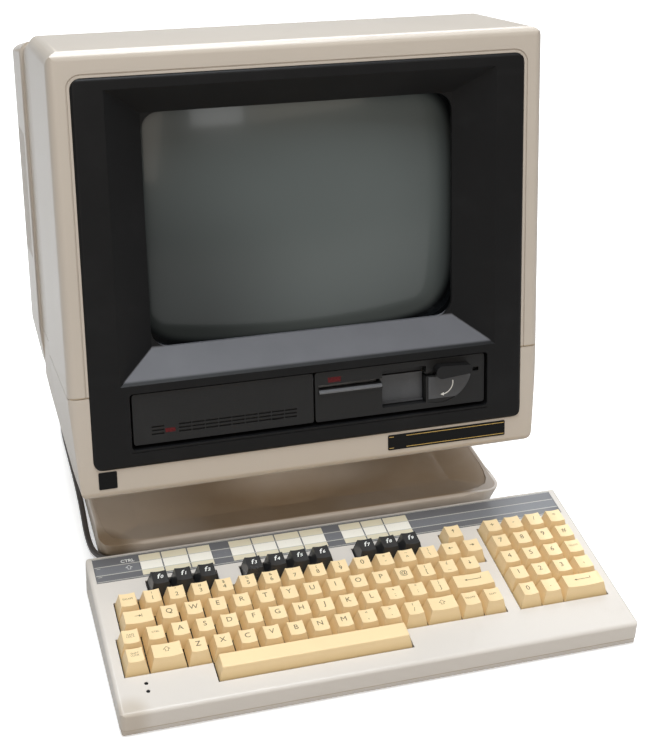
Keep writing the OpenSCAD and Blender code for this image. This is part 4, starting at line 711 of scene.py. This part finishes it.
def build_materials():
    scene = bpy.context.scene
    case, bezel, keys = scene.computer_case, scene.computer_bezel, scene.computer_keys
    colour, stain, roughness = tuple(case.colour), tuple(case.stain), case.roughness
    paler = tuple(0.30 * 0.72 + 0.76 * c for c in colour)
    MATERIALS.update(
        case=satin_paint("case_paint", colour, stain, roughness, HEAD, head_marks_and_shade),
        keyboard=satin_paint("keyboard_paint", paler, stain, roughness + 0.08, KEYS, keyboard_age, 0.25),
        # Painted light: the base's paint is the case's paint drawn much lighter, to offset the shade it lies in.
        base=satin_paint("base_paint_lightened", (0.84, 0.77, 0.70), (0.40, 0.30, 0.20), roughness + 0.05, None, base_stain_and_painted_light),
        # The bezel's lower slope is lightened by dust and a painted sheen.
        bezel=moulded_plastic(
            "bezel_plastic", tuple(bezel.colour), 0.42, 0.0006, 0.00009, 0.45, dust=funnel_dust_and_sheen, specular=0.16
        ),
        panel=moulded_plastic(
            "drive_panel_plastic", (0.010, 0.010, 0.0105), 0.42, 0.0010, 0.00015, 0.30, specular=0.3
        ),
        gloss=moulded_plastic(
            "lever_plastic", (0.007, 0.007, 0.0075), 0.20, 0.002, 0.00002, 0.2, 0.25, specular=0.15
        ),
        label=moulded_plastic("label_film", (0.0055, 0.0055, 0.0055), 0.34, 0.002, 0.00002, 0.2, specular=0.12),
        # Painted highlight: light grey plastic for the strip on the lip under the disk slot.
        wear=moulded_plastic("highlight_plastic", (0.11, 0.11, 0.115), 0.30, 0.001, 0.00002, 0.6, 0.2),
        plate=moulded_plastic("recess_plate", (0.052, 0.053, 0.057), 0.33, 0.0010, 0.00006, 0.8, 0.1),
        glass=screen_glass(tuple(bezel.glass)),
        key=key_plastic("key_plastic", tuple(keys.colour), (0.60, 0.42, 0.17)),
        dark_key=moulded_plastic("function_key_plastic", tuple(keys.dark), 0.25, 0.0007, 0.00004, 0.4, 0.3, KEYS),
        legend=ink("legend_ink", (0.085, 0.070, 0.035)),
        white=ink("white_ink", (0.75, 0.75, 0.72)),
        line=ink("line_ink", (0.52, 0.50, 0.45)),
        cell=ink("cell_ink", (0.68, 0.61, 0.45), 0.4, 0.5),
        pale_cell=ink("pale_cell_ink", (0.84, 0.80, 0.71), 0.4, 0.5),
        gold=ink("gold_ink", (0.55, 0.36, 0.09), 0.3, 0.3),
        film=strip_print((0.128, 0.128, 0.136)),
        block=ink("block_ink", (0.165, 0.168, 0.180), 0.35, 0.2),
        steel=metal("plated_steel", (0.62, 0.62, 0.63), 0.30),
        casting=metal("cast_aluminium", (0.55, 0.56, 0.58), 0.42, False),
        stand=satin_paint("stand_paint", (0.34, 0.33, 0.30), stain, 0.45),
        black=moulded_plastic("fitting_plastic", (0.016, 0.016, 0.017), 0.45, matrix=None),
        board=circuit_green(),
        copper=copper_winding(),
        lamp=red_lamp(),
        rubber=rubber(),
        cord=glossy_cord(),
    )


# ------------------------ lead


ROUTE = [
    (-177, -90, 20), (-177, -80.5, 20), (-177.4, -74, 19.2), (-179, -67, 16.8), (-181.8, -59.5, 13),
    (-185, -51.5, 9.4), (-188, -42.5, 6.4), (-189.9, -32, 4.3), (-190.6, -20, 3), (-190.6, -6, 2.5),
    (-190, 10, 2.5), (-189.2, 30, 2.5), (-188.6, 55, 2.5), (-188.3, 80, 2.5), (-188.3, 105, 2.5),
    (-188.3, 130, 2.5), (-188.2, 148, 2.5), (-187.4, 162, 2.5), (-185.6, 176, 2.5), (-182.6, 190, 2.5),
    (-179.6, 203, 2.5), (-178, 215, 2.5),
]
COIL = Vector((-145.5, 216.0, 0.0))
COIL_RADIUS = 27.5
COIL_STEPS = 36
LEAD_REST = 2.5
LAYER_RISE = 0.92
# When in each turn the coil steps inwards, and for how much of it
STEP_IN = (0.65, 0.35)
PLUG = Vector((-119.2, 242.9, 8.0))
PLUG_TURN = -14.0
KEYBOARD_REAR = -83.7
LEAD_OUT = 3.2


def spline_point(points, i, t):
    """A point between points i and i + 1 of a smooth curve through all of them."""
    chosen = (points[max(i - 1, 0)], points[i], points[i + 1], points[min(i + 2, len(points) - 1)])
    a, b, c, d = (Vector(point) for point in chosen)
    return 0.5 * (2 * b + (c - a) * t + (2 * a - 5 * b + 4 * c - d) * t * t + (3 * b - a - 3 * c + d) * t ** 3)


def coil_point(radius, angle, lift, diameter):
    """A point of the coil, lifted by a share of the second layer's height."""
    across, along = radius * math.cos(angle), radius * math.sin(angle)
    return COIL + Vector((across, along, LEAD_REST + lift * LAYER_RISE * diameter))


def lead_points(diameter, across):
    """The lead's centre line in millimetres: out of the keyboard, round the base, into the coil and to the plug."""
    points = [spline_point(ROUTE, i, k / 4) for i in range(1, len(ROUTE) - 1) for k in range(4)]
    # Two layers of turns: inwards on the table, then outwards on top of them
    outer = COIL_RADIUS + diameter * (across - 1) / 2
    for layer in range(2):
        for k in range(COIL_STEPS * across):
            turn = k / COIL_STEPS
            whole = int(turn)
            slide = share(turn - whole, *STEP_IN)
            slide = slide * slide * (3 - 2 * slide)
            moved = whole + slide if whole < across - 1 else whole
            radius = outer - diameter * (moved if layer == 0 else across - 1 - moved)
            lift = 1.0 if layer else slide * (whole == across - 1)
            points.append(coil_point(radius, math.pi - 2 * math.pi * (turn + layer * across), lift, diameter))
    # On along the last turn to the point where it leaves for the plug
    leave, angle = math.radians(90 + PLUG_TURN), math.pi
    while angle > leave:
        points.append(coil_point(outer, angle, 1.0, diameter))
        angle -= 2 * math.pi / COIL_STEPS
    heading = Vector((math.cos(math.radians(PLUG_TURN)), math.sin(math.radians(PLUG_TURN)), 0))
    last, tail = coil_point(outer, leave, 1.0, diameter), PLUG - heading * 10
    return [*points, last, last.lerp(tail, 0.5), tail, PLUG - heading * 5]


class LeadOperator(bpy.types.Operator):
    """Lays the keyboard's lead along its route, into its coil and to its plug"""

    bl_idname = "computer.lay_lead"
    bl_label = "Lay Lead"

    def execute(self, context):
        lead = context.scene.computer_lead
        outside = KEYBOARD_REAR + LEAD_OUT
        points = [Vector((ROUTE[0][0], outside, ROUTE[0][2]))]
        # The rest of the route, once it is clear of the strain relief
        points += [p for p in lead_points(lead.diameter / MM, lead.turns) if p.y > outside + 0.5 or p.z < 12]
        curve = bpy.data.curves.new("keyboard_lead_cord", "CURVE")
        curve.dimensions = "3D"
        curve.bevel_depth = lead.diameter / 2
        curve.bevel_resolution = 4
        curve.use_fill_caps = True
        spline = curve.splines.new("POLY")
        spline.points.add(len(points) - 1)
        for target, point in zip(spline.points, points):
            target.co = (*(point * MM), 1.0)
        spline.use_smooth = True
        piece = new_object("keyboard_lead_cord", curve)
        paint("cord", piece)
        length = sum((b - a).length for a, b in zip(points, points[1:])) * MM
        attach(piece, "base")
        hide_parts("keyboard_lead", "lead_coil")
        tuple(points[0] * MM)
        paint("black", "lead_plug", "strain_relief")
        return {"FINISHED"}


# ------------------------ mouldings


class MaterialsOperator(bpy.types.Operator):
    """Builds every finish from the settings"""

    bl_idname = "computer.build_finishes"
    bl_label = "Build Finishes"

    def execute(self, context):
        build_materials()
        return {"FINISHED"}


class CasesOperator(bpy.types.Operator):
    """Rounds the edges of the head's cases and gives them their paint"""

    bl_idname = "computer.mould_cases"
    bl_label = "Mould Cases"

    def execute(self, context):
        edge = context.scene.computer_case.edge
        moulded("upper_case", "case", edge)
        moulded("lower_case", "case", edge)
        moulded("rear_cover", "case", 0)
        return {"FINISHED"}


class BezelOperator(bpy.types.Operator):
    """Rounds the bezel and finishes the screen behind it"""

    bl_idname = "computer.mould_bezel"
    bl_label = "Mould Bezel and Screen"

    def execute(self, context):
        moulded("bezel", "bezel", 0.8, 3)
        paint("glass", "screen_tube")
        return {"FINISHED"}


# Boxes in the head's frame: behind the finger recess, and under the lever
BACK_PLATES = {
    "recess_back_plate": (((58.4, 8.4, 23.6), (95.2, 9.6, 47.0)), ((58.4, 6.6, 22.8), (95.2, 8.6, 23.8))),
    "lever_back_plate": (((98.0, 0.6, 24.5), (135.0, 1.3, 43.5)),),
}
MARK_CENTRE = (109.5, 37.5)
MARK_RADIUS = 10.0
MARK_WIDTH = 0.9
MARK_DEPTH = -0.5
# Ends and profile of the painted highlight strip on the lip under the disk slot
LIP_ENDS = (4.2, 57.4)
LIP_PROFILE = ((-0.84, 41.0), (-0.84, 42.0), (1.4, 43.4), (1.4, 42.9), (-0.6, 41.6), (-0.6, 41.0))


class DrivesOperator(bpy.types.Operator):
    """Finishes the drives' fronts, their lights and the lever, with the plates and marks on them"""

    bl_idname = "computer.mould_drives"
    bl_label = "Mould Drives"

    def execute(self, context):
        moulded("hard_drive_panel", "panel", 0.3)
        moulded("floppy_fascia", "panel", 0.35)
        moulded("floppy_lever", "gloss", 1.2, 3)
        paint("lamp", "drive_lights")
        paint("casting", "hard_drive_body", "floppy_body")
        for name, boxes in BACK_PLATES.items():
            form = bmesh.new()
            for low, high in boxes:
                add_box(form, low, high)
            add_piece(name, form, HEAD, "plate", "head", "panel_black")
        # Arrow that shows the lever's turn
        form = bmesh.new()
        arc = [
            (MARK_CENTRE[0] + MARK_RADIUS * math.cos(angle), MARK_CENTRE[1] + MARK_RADIUS * math.sin(angle))
            for angle in (math.radians(-k) for k in range(-8, 88, 6))
        ]
        add_line(form, arc, MARK_WIDTH, 0.0, MARK_DEPTH)
        x, y = arc[-1]
        add_plate(form, [(x + 0.6, y + 1.5), (x - 2.4, y + 0.1), (x + 0.6, y - 1.5)], MARK_DEPTH)
        add_piece("lever_mark", form, FRONT, "white", "head", "panel_black")
        # Painted highlight: a light grey strip on the lip under the disk slot, where its edge catches the light
        form = bmesh.new()
        left, right = ([form.verts.new((x, y, z)) for y, z in LIP_PROFILE] for x in LIP_ENDS)
        for i in range(len(LIP_PROFILE)):
            j = (i + 1) % len(LIP_PROFILE)
            form.faces.new((left[i], right[i], right[j], left[j]))
        form.faces.new(left)
        form.faces.new(list(reversed(right)))
        add_piece("slot_lip_highlight", form, HEAD, "wear", "head", "panel_black")
        return {"FINISHED"}


LINE_WIDTH = 0.5
GOLD_LINES = ((63.0, 67.0), (78.0, 165.0))


class PlatesOperator(bpy.types.Operator):
    """Finishes the two blank plates on the lower case, the wide one with its gold lines"""

    bl_idname = "computer.finish_plates"
    bl_label = "Finish Plates"

    def execute(self, context):
        moulded("label_plates", "label", 0.15, 1)
        lines = [(x0, y, x1, y + LINE_WIDTH, 0.63) for y in (-4.3, -14.0) for x0, x1 in GOLD_LINES]
        printed("plate_lines", lines, 0.0, FRONT, "gold", "head", "label_black")
        return {"FINISHED"}


# Degrees at which the base's corners are cut, and start and width of the bands, upwards and outwards, that tighten
CORNER_CUTS = (0, 90, 10, 20, 28, 33, 37, 41, 45, 49, 53, 57, 62, 70, 80)
TIGHTEN_UP = (4.0, 22.0)
TIGHTEN_OUT = (30.0, 4.0)
TOUCH = 1e-6


def edge_reach(angle):
    """How far the base's upper edge lies from the middle of its large corner, in the direction of angle."""
    across, along = abs(math.cos(angle)), abs(math.sin(angle))
    inner = BASE_CORNER - BASE_EDGE_CORNER
    if min(across, along) / max(across, along) * BASE_CORNER <= inner:
        return BASE_CORNER / max(across, along)
    middle = inner * (across + along)
    return middle + math.sqrt(middle ** 2 - 2 * inner ** 2 + BASE_EDGE_CORNER ** 2)


def tighten_corners(piece):
    """Draws the base's large corners out into small ones along its upper edge."""
    form = bmesh.new()
    form.from_mesh(piece.data)
    inset = BASE_HALF - Vector((BASE_CORNER, BASE_CORNER))
    for side, end in ((-1, -1), (1, -1), (1, 1), (-1, 1)):
        centre = Vector((STAND.x + BASE_SHIFT + side * inset.x, STAND.y + end * inset.y, 0)) * MM

        def in_corner(point):
            return side * (point.x - centre.x) > -TOUCH and end * (point.y - centre.y) > -TOUCH

        for degrees in CORNER_CUTS:
            turn = math.radians(degrees)
            faces = [face for face in form.faces if degrees in (0, 90) or in_corner(face.calc_center_median())]
            parts = {part for face in faces for part in (*face.verts, *face.edges)}
            bmesh.ops.bisect_plane(
                form, geom=[*faces, *parts], dist=1e-7, plane_co=centre,
                plane_no=(side * math.sin(turn), -end * math.cos(turn), 0),
            )
        for vert in form.verts:
            if not in_corner(vert.co):
                continue
            arm = (vert.co - centre).to_2d() / MM
            drawn = share(vert.co.z / MM, *TIGHTEN_UP) * share(arm.length, *TIGHTEN_OUT)
            if drawn > 0:
                stretch = 1 + (edge_reach(math.atan2(arm.y, arm.x)) / BASE_CORNER - 1) * drawn
                vert.co.x, vert.co.y = centre.x + arm.x * MM * stretch, centre.y + arm.y * MM * stretch
    bmesh.ops.triangulate(form, faces=[face for face in form.faces if len(face.verts) > 4])
    bmesh.ops.recalc_face_normals(form, faces=form.faces)
    form.to_mesh(piece.data)
    form.free()
    soften(piece.data)
    level_normals(piece)


class StandOperator(bpy.types.Operator):
    """Finishes the base, the turntable, the bracket and their fasteners"""

    bl_idname = "computer.mould_stand"
    bl_label = "Mould Stand"

    def execute(self, context):
        tighten_corners(moulded("base_plate", "base", 0.9, 3))
        moulded("cradle", "stand", 0.5)
        moulded("tilt_bracket", "stand", 0.4)
        paint("steel", "tilt_pin", "swivel_bolt", "case_screws")
        paint("rubber", "rubber_feet")
        return {"FINISHED"}


class KeyboardOperator(bpy.types.Operator):
    """Rounds the keyboard's case and finishes what is under the keys"""

    bl_idname = "computer.mould_keyboard"
    bl_label = "Mould Keyboard"

    def execute(self, context):
        moulded("keyboard_top", "keyboard", context.scene.computer_case.edge)
        moulded("keyboard_base", "keyboard", 0.4)
        paint("black", "key_plate", "key_switches")
        paint("board", "keyboard_board")
        paint("gloss", "keyboard_lights")
        paint("film", "label_strip")
        return {"FINISHED"}


# The strip's left, lower, right and upper sides, its film's top, and the sides of the cells beside the function keys
STRIP = (-9.1, 90.7, 392.0, 118.3)
FILM = DECK + 0.15
CELLS = ((27.5, 46, 67.5, 87), (102, 121.5, 141, 162.5, 183), (197, 216.5, 236, 258))
CELL_GAP = 1.1
BAND_GAP = 0.8
RULE_WIDTH = 0.7
MARKS_AT = 18.5
STRIP_FINISH = ("base", "strip_grey")


class StripOperator(bpy.types.Operator):
    """Prints the lines and cells of the strip above the keys"""

    bl_idname = "computer.print_strip"
    bl_label = "Print Strip"

    def execute(self, context):
        left, low, right, high = STRIP
        # A pale row of cells between two tan ones
        rows = ((low + 2.2, low + 7.6), (low + 8.3, low + 17.2), (low + 17.9, high - 2.4))
        middle, upper = rows[1], rows[2]
        for name, material, chosen in (("strip_cells", "cell", (0, 2)), ("strip_pale_cells", "pale_cell", (1,))):
            cells = [
                (a, rows[row][0], b, rows[row][1], FILM + 0.05)
                for sides in CELLS for a, b in zip(sides, sides[1:]) for row in chosen
            ]
            printed(name, cells, CELL_GAP, KEYS, material, *STRIP_FINISH)
        # Lighter band through the spaces between the groups of cells
        ends = [left + 0.5, *(side for sides in CELLS for side in (sides[0], sides[-1])), right - 0.5]
        band = [(a, middle[0], b, middle[1], FILM + 0.04) for a, b in zip(ends[::2], ends[1::2])]
        printed("strip_band", band, BAND_GAP, KEYS, "block", *STRIP_FINISH)
        # Lines along both sides, and a rule between each two rows with a mark on its left end
        lines = [(ends[0], y, ends[-1], y + LINE_WIDTH, FILM + 0.04) for y in (low + 0.7, high - 0.9)]
        for y in (rows[0][1], middle[1]):
            lines.append((ends[0], y, ends[-1], y + RULE_WIDTH, FILM + 0.045))
            lines.append((left + 2.0, y - 1.6, left + 5.0, y - 1.6 + LINE_WIDTH, FILM + 0.06))
        printed("strip_lines", lines, 0.0, KEYS, "line", *STRIP_FINISH)
        form = bmesh.new()
        for mark, y in ((type_mesh("CTRL", 4.6, 0.10), upper[0] + 2.7), (shape_mesh("shift"), middle[0] + 4.4)):
            mark.transform(Matrix.Translation((MARKS_AT, y, FILM + 0.08)))
            merge(form, mark)
        add_piece("strip_marks", form, KEYS, "white", *STRIP_FINISH)
        return {"FINISHED"}


# ------------------------ keys

FUNCTION_KEYS = (1.5, 2.5, 3.5, 5.5, 6.5, 7.5, 8.5, 10.5, 11.5, 12.5)
PAD = 16.35
CAP_GAP = 0.85
CAP_TAPER = 6.0
CAP_DISH = 0.8
INK_LIFT = 0.05
SMALL_TYPE = 0.36
# Weight and lean of the type on the dark keys and on the light ones
DARK_TYPE = (0.10, 0.25)
LIGHT_TYPE = (0.0, 0.0)


def key_row(left, row, legends, uppers):
    return [(left + i, 1, row, legend, uppers.get(legend, "")) for i, legend in enumerate(legends)]


def single(left, width, row, legend):
    return [(left, width, row, legend, "")]


def key_list():
    """Every key as node: [(left edge, width, row, main legend, upper legend)]."""
    pad = ((0, ["0", "."]), (1, "123,"), (2, ["4", "5", "6", "small:DELETE"]), (3, "789#"), (4, "+-/*"))
    return {
        "function_keys": [(x, 1, 4, f"f{i}", "") for i, x in enumerate(FUNCTION_KEYS)],
        "number_keys": key_row(1, 3, "1234567890-^\\", dict(zip("123456789-^\\", "!\"#$%&'()=~|"))),
        "top_letter_keys": key_row(1.5, 2, "QWERTYUIOP@[_", {"[": "{", "_": "£"}),
        "home_letter_keys": key_row(1.75, 1, "ASDFGHJKL;:]", {";": "+", ":": "*", "]": "}"}),
        "bottom_letter_keys": key_row(2.25, 0, "ZXCVBNM,./", {",": "<", ".": ">", "/": "?"}),
        "escape_key": single(0, 1, 3, "small:ESCAPE"),
        "tab_key": single(0, 1.5, 2, "shape:tab"),
        "caps_lock_key": single(-0.25, 1, 1, "small:CAPS\nLOCK"),
        "control_key": single(0.75, 1, 1, "small:CTRL"),
        "shift_lock_key": single(-0.25, 1, 0, "small:SHIFT\nLOCK"),
        "left_shift_key": single(0.75, 1.5, 0, "shape:shift"),
        "right_shift_key": single(12.25, 1.5, 0, "shape:shift"),
        "return_key": single(13.75, 2, 1, "shape:return"),
        "delete_key": single(13.75, 1, 0, "small:DELETE"),
        "copy_key": single(14.75, 1, 0, "small:COPY"),
        "space_bar": single(3.25, 8, -1, ""),
        "cursor_keys": [
            (14.5, 1, 4, "shape:up", ""), (14, 1, 3, "shape:left", ""),
            (15, 1, 3, "shape:right", ""), (14.5, 1, 2, "shape:down", ""),
        ],
        "keypad_keys": [key for row, legends in pad for key in key_row(PAD, row, legends, {})],
        "keypad_return_key": single(PAD + 2, 2, 0, "shape:return"),
    }


def type_mesh(text, size, weight=0.0, lean=0.0):
    """Flat letters round the origin, in millimetres, as a bmesh."""
    curve = bpy.data.curves.new("legend", "FONT")
    curve.body = text
    curve.size = size
    curve.align_x = "CENTER"
    curve.align_y = "CENTER"
    curve.space_line = 0.85
    curve.resolution_u = 3
    curve.offset = weight
    curve.shear = lean
    form = take_form(new_object("legend", curve))
    bpy.data.curves.remove(curve)
    return form


def shape_mesh(kind):
    """Arrows of the shift, tab, return and cursor keys."""
    form = bmesh.new()
    if kind == "shift":
        half = [(1.1, -1.8), (1.1, 0.2), (2.5, 0.2), (0, 2.6)]
        add_line(form, [(-1.1, -1.8), *half, (-2.5, 0.2), (-1.1, 0.2), (-1.1, -1.8)], 0.35)
    elif kind == "tab":
        add_line(form, [(-2.6, 0), (1.2, 0)], 0.4)
        add_plate(form, [(0.6, -1.2), (2.3, 0), (0.6, 1.2)])
        add_line(form, [(2.7, -1.4), (2.7, 1.4)], 0.4)
    elif kind == "return":
        add_line(form, [(7.0, 1.8), (7.0, 0), (-5.2, 0)], 0.4)
        add_plate(form, [(-7.0, 0), (-5.0, -1.1), (-5.0, 1.1)])
    else:
        turn = {"up": 0, "left": 90, "down": 180, "right": 270}[kind]
        add_line(form, [(0, -1.8), (0, 0.4)], 0.5)
        add_plate(form, [(-1.3, 0.2), (1.3, 0.2), (0, 2.0)])
        form.transform(Matrix.Rotation(math.radians(turn), 4, "Z"))
    return form


def legend_places(main, upper, dark):
    """The legends of one cap as (text, across, up, scale)."""
    if dark:
        return [(main[0], -1.3, 2.0, 1.08), (main[1:], 1.5, 1.3, 0.68)]
    if upper:
        return [(main, 0.0, -0.6, 0.85), (upper, 0.0, 4.6, 0.62)]
    return [(main, 0.0, 1.9, 1.0)] if main else []


def legend_mesh(text, size, scale, dark):
    if text.startswith("shape:"):
        return shape_mesh(text.removeprefix("shape:"))
    if text.startswith("small:"):
        return type_mesh(text.removeprefix("small:"), size * SMALL_TYPE)
    return type_mesh(text, size * scale, *(DARK_TYPE if dark else LIGHT_TYPE))


class KeysOperator(bpy.types.Operator):
    """Rounds the keycaps and prints their legends on the dished tops"""

    bl_idname = "computer.mould_keys"
    bl_label = "Mould Keys"

    def execute(self, context):
        keys = context.scene.computer_keys
        for node, caps in key_list().items():
            dark = node == "function_keys"
            moulded(node, "dark_key" if dark else "key", keys.edge, 3, 30.0, "_caps")
            sheet = bmesh.new()
            for left, width, row, main, upper in caps:
                half = (width * PITCH - CAP_GAP - CAP_TAPER) / 2
                radius = half * half / 2 / CAP_DISH
                for text, across, up, scale in legend_places(main, upper, dark):
                    legend = legend_mesh(text, keys.legend, scale, dark)
                    legend.transform(Matrix.Translation((across, up, 0)))
                    for vertex in legend.verts:
                        vertex.co.z = radius - math.sqrt(max(radius * radius - vertex.co.x ** 2, 0.0)) + INK_LIFT
                    legend.transform(Matrix.Translation(((left + width / 2) * PITCH, row * PITCH, 0)))
                    merge(sheet, legend)
            if len(sheet.verts):
                material, slot = ("white", "key_black") if dark else ("legend", "key_cream")
                add_piece(node + "_legends", sheet, KEYS, material, body_of(node), slot)
            else:
                sheet.free()
        return {"FINISHED"}


# ------------------------ rear and inside


class RearOperator(bpy.types.Operator):
    """Finishes the fan, sockets, inlet, rocker and knobs, and the boards and the yoke inside"""

    bl_idname = "computer.finish_rear"
    bl_label = "Finish Rear"

    def execute(self, context):
        moulded("power_switch", "gloss", 0.5)
        moulded("brightness_knob", "black", 0.3)
        moulded("contrast_knob", "black", 0.3)
        moulded("rear_sockets", "steel", 0.25)
        paint("black", "fan_frame", "fan_rotor", "mains_inlet")
        paint("casting", "power_supply")
        paint("board", "main_board", "neck_board")
        paint("copper", "deflection_yoke")
        return {"FINISHED"}


# ------------------------ stage

CAMERA_AT = (-0.3235, -1.0446, 0.7870)
CAMERA_FORWARD = Vector((0.277, 0.853, -0.443)).normalized()
CAMERA_RIGHT = Vector((0.956, -0.289, 0.041))
FLOOR_HALF = 6.0
FLOOR_HEIGHT = -0.0003
WHITE = (1.0, 1.0, 1.0)

# Power in watts, size, place, the point it looks at, and colour
LAMPS = {
    "overhead": (82, (2.0, 1.6), (-0.12, -0.15, 2.6), (0.0, -0.15, 0.1), (0.89, 0.95, 1.0)),
    "front_right": (10.0, (1.2, 1.2), (0.75, -2.3, 1.7), (0.0, -0.1, 0.15), (1.0, 0.88, 0.74)),
    "front_left": (7.5, (1.0, 1.0), (-1.0, -2.2, 1.1), (0.0, 0.0, 0.15), (1.0, 0.89, 0.77)),
    "window": (1.0, (0.34, 0.14), (-0.06, -1.70, 0.95), (-0.08, 0.0, 0.375), WHITE),
    "behind": (38, (1.7, 1.5), (0.55, 1.9, 2.1), (0.0, 0.0, 0.2), (0.91, 0.95, 1.0)),
}


class StageOperator(bpy.types.Operator):
    """Sets up the camera, the world, the floor and the lamps"""

    bl_idname = "computer.set_stage"
    bl_label = "Set Stage"

    def execute(self, context):
        scene = context.scene
        stage = scene.computer_stage
        scene.view_settings.view_transform = "Standard"
        camera = bpy.data.cameras.new("camera")
        camera.lens = stage.lens
        camera.shift_y = stage.shift
        camera.clip_end = 50.0
        right = (CAMERA_RIGHT - CAMERA_FORWARD * CAMERA_RIGHT.dot(CAMERA_FORWARD)).normalized()
        turn = Matrix((right, right.cross(CAMERA_FORWARD), -CAMERA_FORWARD)).transposed().to_4x4()
        scene.camera = new_object("camera", camera)
        scene.camera.matrix_world = Matrix.Translation(CAMERA_AT) @ turn

        scene.world = bpy.data.worlds.new("studio")
        scene.world.use_nodes = True
        w = Nodes(scene.world.node_tree)
        room = w.node("ShaderNodeBackground", {}, {0: (1.0, 0.96, 0.90), 1: 0.24})
        white = w.node("ShaderNodeBackground", {}, {0: WHITE, 1: 1.0})
        w.node("ShaderNodeOutputWorld", {}, {0: w.for_camera(white.outputs[0], room.outputs[0])})

        if stage.show_floor:
            form = bmesh.new()
            corners = [(-1, -1), (1, -1), (1, 1), (-1, 1)]
            add_plate(form, [(x * FLOOR_HALF, y * FLOOR_HALF) for x, y in corners], FLOOR_HEIGHT)
            floor = new_object("floor", to_mesh(form, "floor"))
            floor.data.materials.append(floor_paper())

        for name, (power, size, at, towards, colour) in LAMPS.items():
            light = bpy.data.lights.new(name, "AREA")
            light.energy = power * stage.lamps
            light.shape = "RECTANGLE"
            light.size, light.size_y = size
            light.color = colour
            aim = (Vector(towards) - Vector(at)).to_track_quat("-Z", "Y").to_matrix().to_4x4()
            new_object(name, light).matrix_world = Matrix.Translation(at) @ aim
        return {"FINISHED"}


# ------------------------ panel and registration


class ComputerPanel(bpy.types.Panel):
    """Lists the steps that finish the computer"""

    bl_idname = "VIEW3D_PT_computer"
    bl_label = "Computer"
    bl_space_type = "VIEW_3D"
    bl_region_type = "UI"
    bl_category = "Computer"

    def draw(self, context):
        for group, names in (
            (context.scene.computer_case, ("colour", "stain", "edge", "roughness")),
            (context.scene.computer_bezel, ("colour", "glass")),
            (context.scene.computer_keys, ("colour", "dark", "legend", "edge")),
            (context.scene.computer_lead, ("diameter", "turns")),
            (context.scene.computer_stage, ("lens", "shift", "lamps", "show_floor")),
        ):
            box = self.layout.box()
            for name in names:
                box.prop(group, name)
        for operator in STEPS:
            self.layout.operator(operator.bl_idname)


SETTINGS = {
    "computer_case": CaseSettings,
    "computer_bezel": BezelSettings,
    "computer_keys": KeySettings,
    "computer_lead": LeadSettings,
    "computer_stage": StageSettings,
}
STEPS = (
    StageOperator,
    MaterialsOperator,
    LeadOperator,
    CasesOperator,
    BezelOperator,
    DrivesOperator,
    PlatesOperator,
    StandOperator,
    KeyboardOperator,
    StripOperator,
    KeysOperator,
    RearOperator,
)


def register():
    for cls in (*SETTINGS.values(), *STEPS, ComputerPanel):
        bpy.utils.register_class(cls)
    for name, group in SETTINGS.items():
        setattr(bpy.types.Scene, name, PointerProperty(type=group))


def unregister():
    for name in SETTINGS:
        delattr(bpy.types.Scene, name)
    for cls in reversed((*SETTINGS.values(), *STEPS, ComputerPanel)):
        bpy.utils.unregister_class(cls)


def main():
    register()
    for operator in STEPS:
        family, name = operator.bl_idname.split(".")
        getattr(getattr(bpy.ops, family), name)()
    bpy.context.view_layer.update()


if __name__ == "__main__":
    main()
